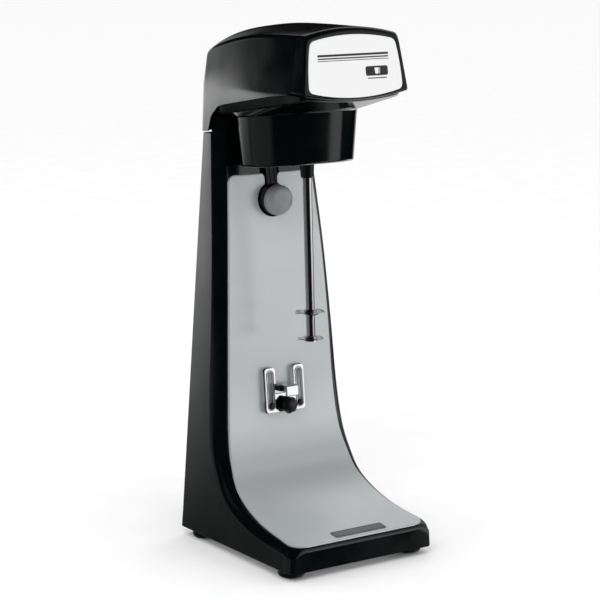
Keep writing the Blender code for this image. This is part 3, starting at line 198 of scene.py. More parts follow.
# Softboxes that gloss and metal reflect, as (azimuth from -Y towards +X, degrees left and right of it,
# softness left and right), (elevation from, to, softness below and above) and strength
SOFTBOXES = (
    ((-165.0, 18.0, 17.0, 15.0, 2.5), (-2.2, -1.4, 12.0, 2.0), 3.1),
    ((-172.0, 25.0, 19.0, 15.0, 7.5), (-2.0, 5.0, 3.0, 12.0), 1.1),
    ((50.0, 14.0, 14.0, 26.0, 26.0), (-6.0, 2.0, 3.0, 4.0), 1.4),
    ((50.0, 16.0, 16.0, 26.0, 26.0), (4.0, 20.0, 6.0, 22.0), 0.6),
    ((48.0, 7.5, 5.0, 3.0, 3.0), (-30.0, -9.0, 14.0, 2.0), 1.2),
    ((50.0, 12.0, 12.0, 8.0, 8.0), (-42.0, -24.0, 8.0, 8.0), 0.2),
    ((142.0, 25.0, 25.0, 10.0, 10.0), (-60.0, -6.0, 6.0, 3.0), 0.9),
    ((104.0, 14.0, 15.0, 12.0, 10.0), (-60.0, -24.0, 6.0, 5.0), 2.6),
    ((-113.0, 26.0, 35.0, 12.0, 20.0), (-34.0, -8.0, 8.0, 4.0), 0.25),
    ((-115.0, 8.0, 8.0, 8.0, 8.0), (10.0, 26.0, 5.0, 5.0), 0.1),
    ((135.0, 20.0, 15.0, 20.0, 10.0), (25.0, 44.0, 8.0, 12.0), 0.8),
    ((100.0, 20.0, 20.0, 20.0, 12.0), (3.0, 40.0, 6.0, 20.0), 0.4),
)
GLOOM, CEILING, ROOM = 0.008, 0.04, 1.1


def window(tree, value, low, high, soft_low, soft_high):
    """A soft band of a value."""
    rise = ramp(tree, value, low - soft_low, low)
    return math_node(tree, "MULTIPLY", rise, ramp(tree, value, high, high + soft_high, 1.0, 0.0))


def make_world():
    """White room light for matt surfaces, and a dark studio with softboxes for what gloss reflects."""
    world = bpy.data.worlds.new("studio")
    world.use_nodes = True
    world.cycles.sampling_method = "NONE"
    SCENE.world = world
    tree = world.node_tree
    tree.nodes.clear()
    direction = shader_node(tree, "TexCoord").outputs["Generated"]
    x, y, z = shader_node(tree, "SeparateXYZ", {0: direction}).outputs
    turn = math_node(tree, "ARCTAN2", x, math_node(tree, "MULTIPLY", y, -1.0))
    azimuth = math_node(tree, "DEGREES", turn)
    elevation = math_node(tree, "DEGREES", math_node(tree, "ARCSINE", z))
    total = ramp(tree, elevation, 50.0, 80.0, GLOOM, CEILING)
    for (middle, left, right, soft_left, soft_right), rise, strength in SOFTBOXES:
        away = math_node(tree, "WRAP", math_node(tree, "SUBTRACT", azimuth, middle), 180.0, -180.0)
        across = window(tree, away, -left, right, soft_left, soft_right)
        box = math_node(tree, "MULTIPLY", across, window(tree, elevation, *rise))
        total = math_node(tree, "ADD", total, math_node(tree, "MULTIPLY", box, strength))
    room = shader_node(tree, "Background", {"Color": (1.0, 1.0, 1.0, 1.0), "Strength": ROOM})
    studio = shader_node(tree, "Background", {"Strength": total})
    is_glossy = shader_node(tree, "LightPath").outputs["Is Glossy Ray"]
    mix = shader_node(tree, "MixShader", {0: is_glossy, 1: room.outputs[0], 2: studio.outputs[0]})
    shader_node(tree, "OutputWorld", {0: mix.outputs[0]})


def make_light(name, location, target, size, power):
    """A soft area light."""
    data = bpy.data.lights.new(name, "AREA")
    data.size = size
    data.energy = power
    light = add_object(name, data)
    light.location = location
    light.rotation_euler = (Vector(target) - Vector(location)).to_track_quat("-Z", "Y").to_euler()
    light.visible_glossy = False


def make_floor():
    """Plain pale floor, 240 m across, so that no horizon shows."""
    bm = bmesh.new()
    bmesh.ops.create_grid(bm, x_segments=1, y_segments=1, size=120.0)
    floor = from_bmesh("floor", bm)
    floor.data.materials.append(finish("floor_white", (0.93, 0.93, 0.93), 0.9, vary=0.01, scale=20.0))
    floor.visible_glossy = False


# Materials

FINISH = {}
NOISE_RANGE = (0.3, 0.7)
CLOUD_SCALE = 30.0


def finish(name, colour, roughness, metallic=0.0, vary=0.04, scale=300.0, stretch=(1.0, 1.0, 1.0),
           relief=None, roughness_spread=0.05, coat=0.0, coat_roughness=0.05, ior=1.5, bands=None):
    """A procedural material whose tone and roughness vary, with a relief of (strength, scale, depth).

    The relief's depth is in millimetres, and scales are per metre.
    """
    made = FINISH[name] = bpy.data.materials.new(name)
    made.use_nodes = True
    tree = made.node_tree
    place = shader_node(tree, "TexCoord").outputs["Object"]
    stretched = shader_node(tree, "Mapping", {"Vector": place, "Scale": stretch}).outputs[0]

    def noise(where, fineness, detail):
        inputs = {"Vector": where, "Scale": fineness, "Detail": detail}
        return shader_node(tree, "TexNoise", inputs).outputs[0]

    tone = noise(stretched, scale, 5.0)
    if bands:
        rows = {"Vector": place, "Scale": bands, "Distortion": 0.4}
        wave = shader_node(tree, "TexWave", rows, bands_direction="Z").outputs["Fac"]
        tone = math_node(tree, "MULTIPLY", math_node(tree, "ADD", tone, wave), 0.5)
    dark, light = ((*(min(c * share, 1.0) for c in colour), 1.0) for share in (1 - vary, 1 + vary))
    blend = {"Factor": ramp(tree, tone, *NOISE_RANGE), "A": dark, "B": light}
    shade = shader_node(tree, "Mix", blend, data_type="RGBA").outputs["Result"]
    spread = roughness * roughness_spread
    cloud = noise(place, CLOUD_SCALE, 3.0)
    gloss = ramp(tree, cloud, *NOISE_RANGE, roughness - spread, roughness + spread)
    fill(tree, tree.nodes["Principled BSDF"], {
        "Base Color": shade, "Roughness": gloss, "Metallic": metallic, "IOR": ior, "Coat Weight": coat,
        "Coat Roughness": coat_roughness,
    })
    if relief:
        strength, fineness, depth = relief
        height = noise(stretched, fineness, 3.0)
        if bands:
            height = math_node(tree, "ADD", height, tone)
        bump = shader_node(tree, "Bump", {"Strength": strength, "Distance": depth * MM, "Height": height})
        fill(tree, tree.nodes["Principled BSDF"], {"Normal": bump.outputs[0]})
    return made


finish(
    "black_gloss", (0.0008, 0.0019, 0.0021), 0.1, vary=0.2, scale=60.0, relief=(0.08, 900.0, 0.03),
    roughness_spread=0.25, ior=1.55,
)
finish("black_matte", (0.0025, 0.003, 0.003), 0.3, vary=0.2, scale=400.0, relief=(0.35, 2600.0, 0.05))
finish(
    "silver_paint", (0.62, 0.65, 0.655), 0.34, 0.56, vary=0.025, scale=2600.0, relief=(0.15, 3000.0, 0.03),
    coat=0.1, coat_roughness=0.3,
)
finish(
    "steel", (0.66, 0.66, 0.67), 0.16, 1.0, vary=0.05, scale=1400.0, stretch=(1.0, 1.0, 0.04),
    relief=(0.2, 2400.0, 0.02), roughness_spread=0.2,
)
finish(
    "chrome", (0.86, 0.86, 0.87), 0.07, 1.0, vary=0.02, scale=200.0, relief=(0.06, 700.0, 0.04),
    roughness_spread=0.3,
)
finish("zinc_plate", (0.55, 0.55, 0.56), 0.36, 1.0, vary=0.1, scale=250.0, relief=(0.2, 1500.0, 0.03))
finish("rubber", (0.004, 0.004, 0.004), 0.6, vary=0.25, scale=500.0, relief=(0.5, 2200.0, 0.08))
finish("grey_plastic", (0.27, 0.276, 0.282), 0.28, 0.3, vary=0.05, scale=900.0, relief=(0.2, 3200.0, 0.03))
finish(
    "plate_white", (0.76, 0.76, 0.765), 0.3, vary=0.01, scale=1800.0, stretch=(0.05, 1.0, 1.0),
    relief=(0.05, 2500.0, 0.02),
)
finish(
    "label_grey", (0.13, 0.137, 0.14), 0.45, 0.2, vary=0.08, scale=1500.0, stretch=(0.1, 1.0, 1.0),
    relief=(0.1, 2500.0, 0.02),
)
finish("copper", (0.62, 0.27, 0.12), 0.32, 0.9, vary=0.2, scale=500.0, bands=900.0, relief=(0.6, 500.0, 0.2))
finish(
    "core_steel", (0.22, 0.22, 0.24), 0.5, 0.9, vary=0.25, scale=400.0, bands=1300.0,
    relief=(0.5, 400.0, 0.1),
)
finish("carbon", (0.02, 0.02, 0.02), 0.55, vary=0.3, scale=900.0, relief=(0.3, 900.0, 0.05))
finish("dark_steel", (0.16, 0.16, 0.165), 0.4, 1.0, vary=0.1, scale=500.0, relief=(0.1, 500.0, 0.02))
finish("mark_ink", (0.02, 0.02, 0.022), 0.4, vary=0.1, scale=900.0, relief=(0.05, 900.0, 0.02))


# Shape helpers

def full_turn(count):
    """Angles evenly round a circle, in radians."""
    return [2 * math.pi * i / count for i in range(count)]


def quarter_turn(count):
    """Angles evenly from 0 to a right angle, in radians."""
    return [math.pi / 2 * i / count for i in range(count + 1)]


def from_bmesh(name, bm):
    """An object in the scene that holds a finished bmesh."""
    mesh = bpy.data.meshes.new(name)
    bm.to_mesh(mesh)
    bm.free()
    return add_object(name, mesh)


def loft(name, rings, closed=False):
    """A surface through rings of equally many points, or one at a tip: with end faces unless closed."""
    bm = bmesh.new()
    loops = [[bm.verts.new(Vector(point) * MM) for point in points] for points in rings]
    pairs = list(zip(loops, loops[1:]))
    if closed:
        pairs.append((loops[-1], loops[0]))
    for lower, upper in pairs:
        count = max(len(lower), len(upper))
        for i in range(count):
            j = (i + 1) % count
            corners = [loop[k % len(loop)] for loop, k in ((lower, i), (lower, j), (upper, j), (upper, i))]
            bm.faces.new(list(dict.fromkeys(corners)))
    for end in () if closed else (loops[0][::-1], loops[-1]):
        if len(end) > 1:
            bm.faces.new(end)
    bmesh.ops.recalc_face_normals(bm, faces=bm.faces)
    return from_bmesh(name, bm)


def turned(name, profile, sides=72, closed=False):
    """A turned solid about Z from (radius, height) points, whose last joins the first if closed."""
    turns = full_turn(sides)
    return loft(name, [
        [(radius * math.cos(a), radius * math.sin(a), height) for a in (turns if radius else turns[:1])]
        for radius, height in profile
    ], closed)


def plate(name, outlines, thickness):
    """A flat solid in XY, half its thickness each side: the first outline is its edge, the others holes."""
    curve = bpy.data.curves.new(name, "CURVE")
    curve.dimensions = "2D"
    curve.fill_mode = "BOTH"
    curve.extrude = thickness / 2 * MM
    for outline in outlines:
        spline = curve.splines.new("POLY")
        spline.points.add(len(outline) - 1)
        for point, (x, y) in zip(spline.points, outline):
            point.co = (x * MM, y * MM, 0.0, 1.0)
        spline.use_cyclic_u = True
    guide = add_object(name + "_outline", curve)
    bpy.context.view_layer.update()
    mesh = bpy.data.meshes.new_from_object(guide.evaluated_get(bpy.context.evaluated_depsgraph_get()))
    bpy.data.objects.remove(guide)
    bm = bmesh.new()
    bm.from_mesh(mesh)
    bpy.data.meshes.remove(mesh)
    bmesh.ops.remove_doubles(bm, verts=bm.verts, dist=0.002 * MM)
    bmesh.ops.dissolve_limit(bm, angle_limit=math.radians(1), verts=bm.verts, edges=bm.edges)
    bmesh.ops.recalc_face_normals(bm, faces=bm.faces)
    return from_bmesh(name, bm)


def block(name, size, centre=(0, 0, 0)):
    """A box."""
    bm = bmesh.new()
    bmesh.ops.create_cube(bm, size=1.0)
    bmesh.ops.scale(bm, vec=Vector(size) * MM, verts=bm.verts)
    bmesh.ops.translate(bm, vec=Vector(centre) * MM, verts=bm.verts)
    return from_bmesh(name, bm)


def set_mesh(made):
    """Replaces an object's mesh with what its modifiers make of it."""
    bpy.context.view_layer.update()
    mesh = bpy.data.meshes.new_from_object(made.evaluated_get(bpy.context.evaluated_depsgraph_get()))
    made.modifiers.clear()
    made.data = mesh
    return made


def moved(made, place=(0, 0, 0), turn=None):
    """Moves the mesh itself, so that the object stays at the origin."""
    matrix = Matrix.Translation(Vector(place) * MM)
    if turn is not None:
        matrix = matrix @ turn.to_4x4()
    made.data.transform(matrix)
    return made


def cut(made, *others, operation="DIFFERENCE"):
    """Cuts a solid with others, or joins them to it."""
    for other in others:
        adjust(made.modifiers.new("cut", "BOOLEAN"), object=other, operation=operation, solver="EXACT")
    set_mesh(made)
    for other in others:
        bpy.data.objects.remove(other)
    return made


def rounded(made, width, segments=3, degrees=40):
    """Rounded edges."""
    adjust(
        made.modifiers.new("edges", "BEVEL"), width=width * MM, segments=segments, limit_method="ANGLE",
        angle_limit=math.radians(degrees), use_clamp_overlap=True,
    )
    return set_mesh(made)


def show(made, node, stands_for=True, look=None):
    """Gives a piece its shading, the material of its node's slot and its body, and hides the CAD node it
    stands for if it stands for one.
    """
    made.data.shade_smooth()
    made.data.set_sharp_from_angle(angle=math.radians(32))
    adjust(made.modifiers.new("normals", "WEIGHTED_NORMAL"), keep_sharp=True, weight=60)
    slot = SLOT_OF[node]
    made.data.materials.clear()
    made.data.materials.append(FINISH[look or slot])
    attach(made, BODY_OF[node])
    if stands_for:
        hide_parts(node)


X_AXIS, Y_AXIS, Z_AXIS = Vector((1, 0, 0)), Vector((0, 1, 0)), Vector((0, 0, 1))
FACING_FRONT = Matrix.Rotation(math.pi / 2, 3, X_AXIS)
FACING_BACK = Matrix.Rotation(-math.pi / 2, 3, X_AXIS)
FACING_SIDE = Matrix.Rotation(math.pi / 2, 3, Z_AXIS) @ FACING_FRONT
SPINDLE_TURN = Z_AXIS.rotation_difference(SPINDLE_AXIS).to_matrix()
REST_TURN = Matrix.Rotation(-REST_SLOPE, 3, X_AXIS)


# Outlines and curves

def arc(centre, radius, start, end, steps):
    """Points on an arc, angles in degrees."""
    angles = [math.radians(start + (end - start) * i / steps) for i in range(steps + 1)]
    return [(centre[0] + radius * math.cos(a), centre[1] + radius * math.sin(a)) for a in angles]


def rounded_rectangle(width, height, radius, centre=(0.0, 0.0), steps=8):
    """A rectangle with round corners."""
    x, y = width / 2 - radius, height / 2 - radius
    points = []
    for sign_x, sign_y, start in ((1, 1, 0), (-1, 1, 90), (-1, -1, 180), (1, -1, 270)):
        points += arc((centre[0] + sign_x * x, centre[1] + sign_y * y), radius, start, start + 90, steps)
    return points


def filleted(points, radius, steps=5, closed=True, limit=0.48, corners=None):
    """Rounds the corners of an outline, or only those given, up to a limit of the edges beside them."""
    made = []
    for i, point in enumerate(points):
        if (not closed and i in (0, len(points) - 1)) or (corners and point not in corners):
            made.append(point)
            continue
        here = Vector(point)
        ends = []
        for other in (Vector(points[i - 1]), Vector(points[(i + 1) % len(points)])):
            away = other - here
            ends.append(here + away * min(radius / away.length, limit))
        for j in range(steps + 1):
            t = j / steps
            made.append(tuple(ends[0] * (1 - t) ** 2 + here * 2 * t * (1 - t) + ends[1] * t ** 2))
    return made


def keyhole(radius, centre_z, half_width, top, flare):
    """A round hole with a slot that leaves it upwards and flares at the top."""
    side = math.degrees(math.acos(half_width / radius))
    low = arc((0.0, centre_z), radius, side, -180 - side, 60)
    left = arc((-half_width - flare, top - flare), flare, 0, 90, 10)
    right = arc((half_width + flare, top - flare), flare, 90, 180, 10)
    above = top + 70.0
    return low + left + [(-half_width - flare, above), (half_width + flare, above)] + right


def through(points, steps):
    """A smooth curve through points, with equally many steps in each span."""
    ends = (points[0], *points, points[-1])
    curve = []
    for before, start, end, after in zip(ends, ends[1:], ends[2:], ends[3:]):
        for i in range(steps):
            t = i / steps
            curve.append(tuple(
                0.5 * (2 * b + (c - a) * t + (2 * a - 5 * b + 4 * c - d) * t ** 2
                       + (3 * b - a - 3 * c + d) * t ** 3)
                for a, b, c, d in zip(before, start, end, after)
            ))
    return curve + [points[-1]]


def value_at(table, position):
    """The value at a position of a smooth curve through (position, value) pairs."""
    slopes = []
    for i in range(len(table)):
        low, high = table[max(i - 1, 0)], table[min(i + 1, len(table) - 1)]
        slopes.append((high[1] - low[1]) / (high[0] - low[0]))
    position = min(max(position, table[0][0]), table[-1][0])
    span = next(i for i in range(1, len(table)) if position <= table[i][0]) - 1
    (x0, y0), (x1, y1) = table[span], table[span + 1]
    width = x1 - x0
    t = (position - x0) / width
    return (
        (2 * t ** 3 - 3 * t ** 2 + 1) * y0
        + (t ** 3 - 2 * t ** 2 + t) * width * slopes[span]
        + (3 * t ** 2 - 2 * t ** 3) * y1
        + (t ** 3 - t ** 2) * width * slopes[span + 1]
    )


def step(value, start, end):
    """A smooth step from 0 to 1."""
    t = min(max((value - start) / (end - start), 0.0), 1.0)
    return t * t * (3 - 2 * t)


def corner_inset(distance, radius):
    """How far a rounded corner stands in from the side, at a distance from the end."""
    if distance >= radius:
        return 0.0
    return radius - math.sqrt(max(radius ** 2 - (radius - distance) ** 2, 0.0))


def mirrored(half):
    """A half section followed by its mirror image, so that the two make one outline."""
    return half + [(-x, *rest) for x, *rest in reversed(half)]


def side_x(z):
    """Half width of the column and base at a height."""
    return BASE_HALF_WIDTH - SIDE_TAPER * (z - FOOT_HEIGHT)


def evenly(points, count):
    """Points on a closed outline, spread half by length and half by how much it turns."""
    total = [0.0]
    length = sum(math.dist(a, b) for a, b in zip(points, points[1:] + points[:1]))
    for i, here in enumerate(points):
        after, later = points[(i + 1) % len(points)], points[(i + 2) % len(points)]
        one = math.atan2(after[1] - here[1], after[0] - here[0])
        other = math.atan2(later[1] - after[1], later[0] - after[0])
        turn = abs((other - one + math.pi) % (2 * math.pi) - math.pi)
        total.append(total[-1] + math.dist(here, after) / length + turn / (2 * math.pi))
    made, at = [], 0
    for k in range(count):
        goal = total[-1] * k / count
        while total[at + 1] < goal:
            at += 1
        t = (goal - total[at]) / (total[at + 1] - total[at])
        one, other = points[at], points[(at + 1) % len(points)]
        made.append((one[0] + (other[0] - one[0]) * t, one[1] + (other[1] - one[1]) * t))
    return made


def superellipse(half_x, half_y, centre_y, power, count):
    """Points round a squarish oval."""
    points = []
    for angle in full_turn(1440):
        c, s = math.cos(angle), math.sin(angle)
        reach = (abs(c / half_x) ** power + abs(s / half_y) ** power) ** (-1 / power)
        points.append((reach * c, centre_y + reach * s))
    return evenly(points, count)


# Column, base and liner

def front_stations(steps):
    """Stations down the front line: (y, z, half width, ray y, ray z) with a unit inward ray."""
    end_y, end_z, end_width = FRONT_LINE[-1]
    line = [point for point in through(FRONT_LINE, steps) if point[0] > end_y + LINER_CORNER]
    slope = (line[-1][1] - end_z) / (line[-1][0] - end_y)
    line += [
        (end_y + part * LINER_CORNER, end_z + part * LINER_CORNER * slope, end_width)
        for part in (0.95, 0.78, 0.6, 0.45, 0.32, 0.2, 0.12, 0.08, 0.045, 0.018, 0.0)
    ]
    stations = []
    for i, (y, z, half_width) in enumerate(line):
        before, after = line[max(i - 1, 0)], line[min(i + 1, len(line) - 1)]
        angle = math.atan2(before[0] - after[0], before[1] - after[1]) if i else 0.0
        angle += (math.pi / 2 - angle) * step(-y, 10.0, 70.0)
        stations.append((y, z, half_width, math.cos(angle), -math.sin(angle)))
    return stations


def housing_ring(station, back, bottom, front, side_wall, rim_depth, lip, recess, rim_steps, edge_radii):
    """One section of the housing, from a side's back edge round the rim to the other side."""
    y, z, half_width, ray_y, ray_z = station
    to_back = (back - y) / ray_y if ray_y > 0.01 else math.inf
    to_bottom = (bottom - z) / ray_z if ray_z < -0.01 else math.inf
    reach = min(to_back, to_bottom)
    radius = edge_radii[0] if to_back < to_bottom else edge_radii[1]
    inset = corner_inset(y - front, BASE_CORNER)

    def at(depth, x):
        return (x, y + ray_y * depth, z + ray_z * depth)

    def wall_x(depth):
        return side_x(z + ray_z * depth) - side_wall - inset

    half = []
    for turn in quarter_turn(4) if radius else (0.0,):
        depth = reach - radius * (1 - math.cos(turn))
        half.append(at(depth, wall_x(depth) - radius * (1 - math.sin(turn))))
    edge = wall_x(rim_depth)
    for turn in quarter_turn(rim_steps):
        x = half_width + (edge - half_width) * math.cos(turn)
        half.append(at(rim_depth - (rim_depth - lip) * math.sin(turn), x))
    if recess:
        inner = half_width - 0.2
        half += [at(lip + 0.25, inner), at(recess, inner)]
    return mirrored(half)


def with_corner(stations, back, bottom):
    """Turns the ray that passes nearest the back bottom corner so that it meets it."""
    def miss(station):
        y, z, _, ray_y, ray_z = station
        return abs((back - y) * ray_z - (bottom - z) * ray_y)

    nearest = min(range(len(stations)), key=lambda i: miss(stations[i]))
    y, z, half_width, _, _ = stations[nearest]
    length = math.hypot(back - y, bottom - z)
    stations[nearest] = (y, z, half_width, (back - y) / length, (bottom - z) / length)
    return stations


def outer_rings():
    """Sections of the housing's outside, with the recess for the liner."""
    stations = with_corner(front_stations(12), REAR_Y, FOOT_HEIGHT)
    end_y, end_z, end_width = stations[-1][:3]
    sections = []
    for y, z, half_width, ray_y, ray_z in stations:
        width = half_width + LINER_SIDE_GAP - corner_inset(y - end_y, LINER_CORNER)
        depth = RIM_DEPTH + (RIM_DEPTH - FRONT_RIM_DEPTH) * min(y, 0.0) / -FRONT_Y
        sections.append(((y, z, width, ray_y, ray_z), FRONT_Y, depth, LINER_RECESS))
    for turn in quarter_turn(10)[1:]:
        y, z = end_y - 2.0 * math.sin(turn), end_z - 6.5 * (1 - math.cos(turn))
        station = (y, z, end_width - LINER_CORNER, 0.0, -1.0)
        sections.append((station, FRONT_Y - 1.5, FRONT_RIM_DEPTH, LINER_PROUD + 0.3))
    return [
        housing_ring(station, REAR_Y, FOOT_HEIGHT, front, 0.0, depth, LINER_PROUD, recess, 16, EDGE_RADII)
        for station, front, depth, recess in sections
    ]


def hollow_rings():
    """Sections of the hollow in the housing."""
    back, bottom, front = REAR_Y - 5.0, FOOT_HEIGHT - 2.0, FRONT_Y + HOUSING_WALL
    stations = [s for s in front_stations(4) if s[0] > front + BASE_CORNER]
    end_z, end_width = FRONT_LINE[-1][1:]
    for away in (1.0, 0.6, 0.3, 0.1, 0.0):
        stations.append((front + away * BASE_CORNER, end_z, end_width - 2 * RIM_WALL, 0.0, -1.0))
    stations = with_corner(stations, back, bottom)
    y, z, half_width, ray_y, ray_z = stations[0]
    stations.insert(0, (y, z + 5.0, half_width, ray_y, ray_z))
    return [
        housing_ring(
            (y, z, half_width - RIM_WALL, ray_y, ray_z), back, bottom, front, HOUSING_WALL,
            RIM_DEPTH + HOUSING_WALL, LINER_RECESS + HOUSING_WALL, 0, 1, (0, 0)
        )
        for y, z, half_width, ray_y, ray_z in stations
    ]


def make_column():
    """Column and base in one hollow shell."""
    housing = loft("column_shell", outer_rings())
    rear_top, recess_depth = 409.0, PANEL_THICKNESS + PANEL_GAP
    radius, half_width = HOUSING_KEYHOLE
    lever_hole = plate("keyhole", [keyhole(radius, KEYHOLE_Z, half_width, COLUMN_TOP + 20.0, 2.0)], 60.0)
    inlet = turned("inlet", ((0, 10), (6.4, 10), (6.4, -10), (0, -10)), 40)
    cut(
        housing,
        loft("hollow", hollow_rings()),
        block("rear_step", (140, 40, 60), (0, REAR_Y + 4, rear_top + 30)),
        block("window", (PANEL_WIDTH - 12, 20, PANEL_HEIGHT - 12), (0, REAR_Y, PANEL_MIDDLE)),
        block("recess", (PANEL_WIDTH, 2 * recess_depth, PANEL_HEIGHT), (0, REAR_Y, PANEL_MIDDLE)),
        moved(lever_hole, (0, 52, 0), FACING_FRONT),
        moved(inlet, (0, REAR_Y, CORD_INLET_Z), FACING_FRONT),
    )
    show(housing, "column_housing")


def make_liner():
    """Sheet liner with rolled edges and the lever's keyhole."""
    below_top = [s for s in front_stations(12) if s[1] < LINER_TOP - LINER_CORNER]
    first_y, first_z, first_width, ray_y, ray_z = below_top[0]
    lean = (FRONT_LINE[0][0] - FRONT_LINE[1][0]) / (FRONT_LINE[0][1] - FRONT_LINE[1][1])
    taper = (FRONT_LINE[1][2] - FRONT_LINE[0][2]) / (FRONT_LINE[0][1] - FRONT_LINE[1][1])
    stations = []
    for share in (0.0, 0.018, 0.045, 0.08, 0.12, 0.2, 0.3, 0.42, 0.58, 0.78):
        z = LINER_TOP - LINER_CORNER * share
        width = first_width - (z - first_z) * taper - corner_inset(LINER_TOP - z, LINER_TOP_CORNER)
        stations.append((first_y + (z - first_z) * lean, z, width, ray_y, ray_z))
    stations += below_top
    rings = []
    for y, z, full_width, ray_y, ray_z in stations:
        from_end = y - FRONT_LINE[-1][0]
        width = full_width - corner_inset(from_end, LINER_CORNER)
        fall = 0.9 * corner_inset(min(from_end, LINER_TOP - z), LINER_ROLL)
        half = [(width, LINER_THICKNESS)] + [
            (width - LINER_ROLL * (1 - math.cos(turn)), max(0.9 * LINER_ROLL * (1 - math.sin(turn)), fall))
            for turn in (0, 0.3, 0.6, 0.9, 1.2, math.pi / 2)
        ]
        rings.append([(x, y + ray_y * depth, z + ray_z * depth) for x, depth in mirrored(half)])
    liner = loft("liner_sheet", rings)
    hole = keyhole(LINER_KEYHOLE_RADIUS, KEYHOLE_Z, NOTCH_HALF_WIDTH, LINER_TOP, 6.0)
    cut(liner, moved(plate("keyhole", [hole], 40.0), (0, 58, 0), FACING_FRONT))
    show(liner, "splash_liner")


def make_label():
    """Blank grey strip near the liner's front edge."""
    low, high = cad_box("label_strip")
    width, depth = LABEL_SIZE
    strip = rounded(plate("label_film", [rounded_rectangle(width, depth, 1.5)], LABEL_THICKNESS), 0.15, 2)
    line = [
        rounded_rectangle(width - less, depth - less, radius) for less, radius in ((2.4, 0.9), (3.2, 0.5))
    ]
    turn = Matrix.Rotation(math.asin((high.z - low.z - LABEL_THICKNESS) / depth), 3, X_AXIS)
    middle = (low + high) / 2
    show(moved(strip, middle, turn), "label_strip")
    border = moved(plate("label_border", line, 0.1), middle + turn @ Vector((0, 0, 0.31)), turn)
    show(border, "label_strip", stands_for=False, look="mark_ink")


# Rear panel and feet

def cross_recess(size, depth, top):
    """Cutters for a cross recess in a screw's head."""
    return [block("recess", (*sides, depth), (0, 0, top)) for sides in ((size, size / 4), (size / 4, size))]


def make_rear_panel():
    """Panel that closes the column's back, with its screws and the cord inlet bush."""
    outline = rounded_rectangle(PANEL_WIDTH - 2 * PANEL_GAP, PANEL_HEIGHT - 2 * PANEL_GAP, 1.2)
    panel = plate("rear_cover_panel", [outline], PANEL_THICKNESS)
    cutters = []
    heights = (PANEL_LOW + PANEL_SCREW_INSET, PANEL_HIGH - PANEL_SCREW_INSET)
    for z in heights:
        well = turned("well", ((0, 4.0), (3.3, 4.0), (3.3, -0.25), (1.8, -0.25), (1.8, -4), (0, -4)), 40)
        cutters.append(moved(well, (0, z - PANEL_MIDDLE, 0)))
    cut(panel, *cutters)
    rounded(panel, 0.4, 2)
    show(moved(panel, (0, REAR_Y - PANEL_THICKNESS / 2, PANEL_MIDDLE), FACING_BACK), "rear_panel")
    for number, z in enumerate(heights, 1):
        screw = turned(f"rear_screw_{number}", (
            (0, 1.4), (1.2, 1.38), (2.2, 1.15), (2.8, 0.6), (3.0, 0.1), (2.9, 0.0), (1.5, 0.0), (1.5, -5.0),
            (0, -5.0),
        ), 48)
        cut(screw, *cross_recess(3.2, 1.6, 1.4))
        show(moved(screw, (0, REAR_Y - 1.5, z), FACING_BACK), f"rear_panel_screw_{number}")
    bush = filleted(((3.6, 0.0), (6.1, 0.0), (6.1, -6.0), (3.6, -6.0)), 0.8)
    bush = turned("inlet_bush", bush, 56, closed=True)
    show(moved(bush, (0, REAR_Y, CORD_INLET_Z), FACING_BACK), "cord_inlet_bush")


def make_feet():
    """Round rubber feet with a ribbed side."""
    for node in sorted(n for n in SLOT_OF if n.startswith("foot_") and not n.startswith("foot_screw")):
        low, high = cad_box(node)
        radius, top = (high.x - low.x) / 2, high.z
        profile = [
            (2.6, top), (radius - 0.6, top), (radius, top - 0.5), (radius, 5.6), (radius - 0.5, 5.2),
            (radius - 0.5, 4.6), (radius, 4.2), (radius, 3.3), (radius - 0.5, 2.0), (radius - 1.6, 0.8),
            (radius - 3.6, 0.0), (5.6, 0.0), (5.0, 0.6), (5.0, 4.0), (2.6, 4.0),
        ]
        foot = turned(f"{node}_rubber", filleted(profile, 0.5, 3), 96, closed=True)
        show(moved(foot, ((low.x + high.x) / 2, (low.y + high.y) / 2, 0)), node)


# Head

def cover_ring(y, wall, low_z):
    """A section of the head cover, across the head."""
    inset = corner_inset(REAR_Y - wall - y, COVER_CORNER)
    low_x = value_at(COVER_LOW_HALF_WIDTH, y) - wall - inset
    top_x = value_at(COVER_TOP_HALF_WIDTH, y) - wall - inset
    edge_z = value_at(COVER_EDGE_Z, y) - wall
    crown_z = value_at(COVER_CROWN_Z, y) - wall
    lean = (low_x - top_x) / (edge_z - BEZEL_LOW_Z)
    foot_x = low_x + lean * (BEZEL_LOW_Z - low_z) * 0.25
    half = [(foot_x, low_z), (low_x, BEZEL_LOW_Z)]
    reach = 3.6
    inner = 1 - reach / top_x
    start = (top_x + reach * lean, edge_z - reach)
    end = (top_x * inner, crown_z - (crown_z - edge_z) * inner ** 2)
    for i in range(8):
        t = i / 8
        half.append(tuple(
            (1 - t) ** 2 * a + 2 * t * (1 - t) * b + t * t * c for a, b, c in zip(start, (top_x, edge_z), end)
        ))
    for i in range(18):
        part = inner * (1 - i / 18)
        half.append((top_x * part, crown_z - (crown_z - edge_z) * part ** 2))
    ring = half + [(0.0, crown_z)] + [(-x, z) for x, z in reversed(half)]
    return [(x, y, z) for x, z in ring]


def rocker_turn():
    """Lean of the head's side wall where the rocker sits."""
    y = ROCKER_SEAT.y
    drop = value_at(COVER_LOW_HALF_WIDTH, y) - value_at(COVER_TOP_HALF_WIDTH, y)
    return Matrix.Rotation(-math.atan(drop / (value_at(COVER_EDGE_Z, y) - BEZEL_LOW_Z)), 3, Y_AXIS)


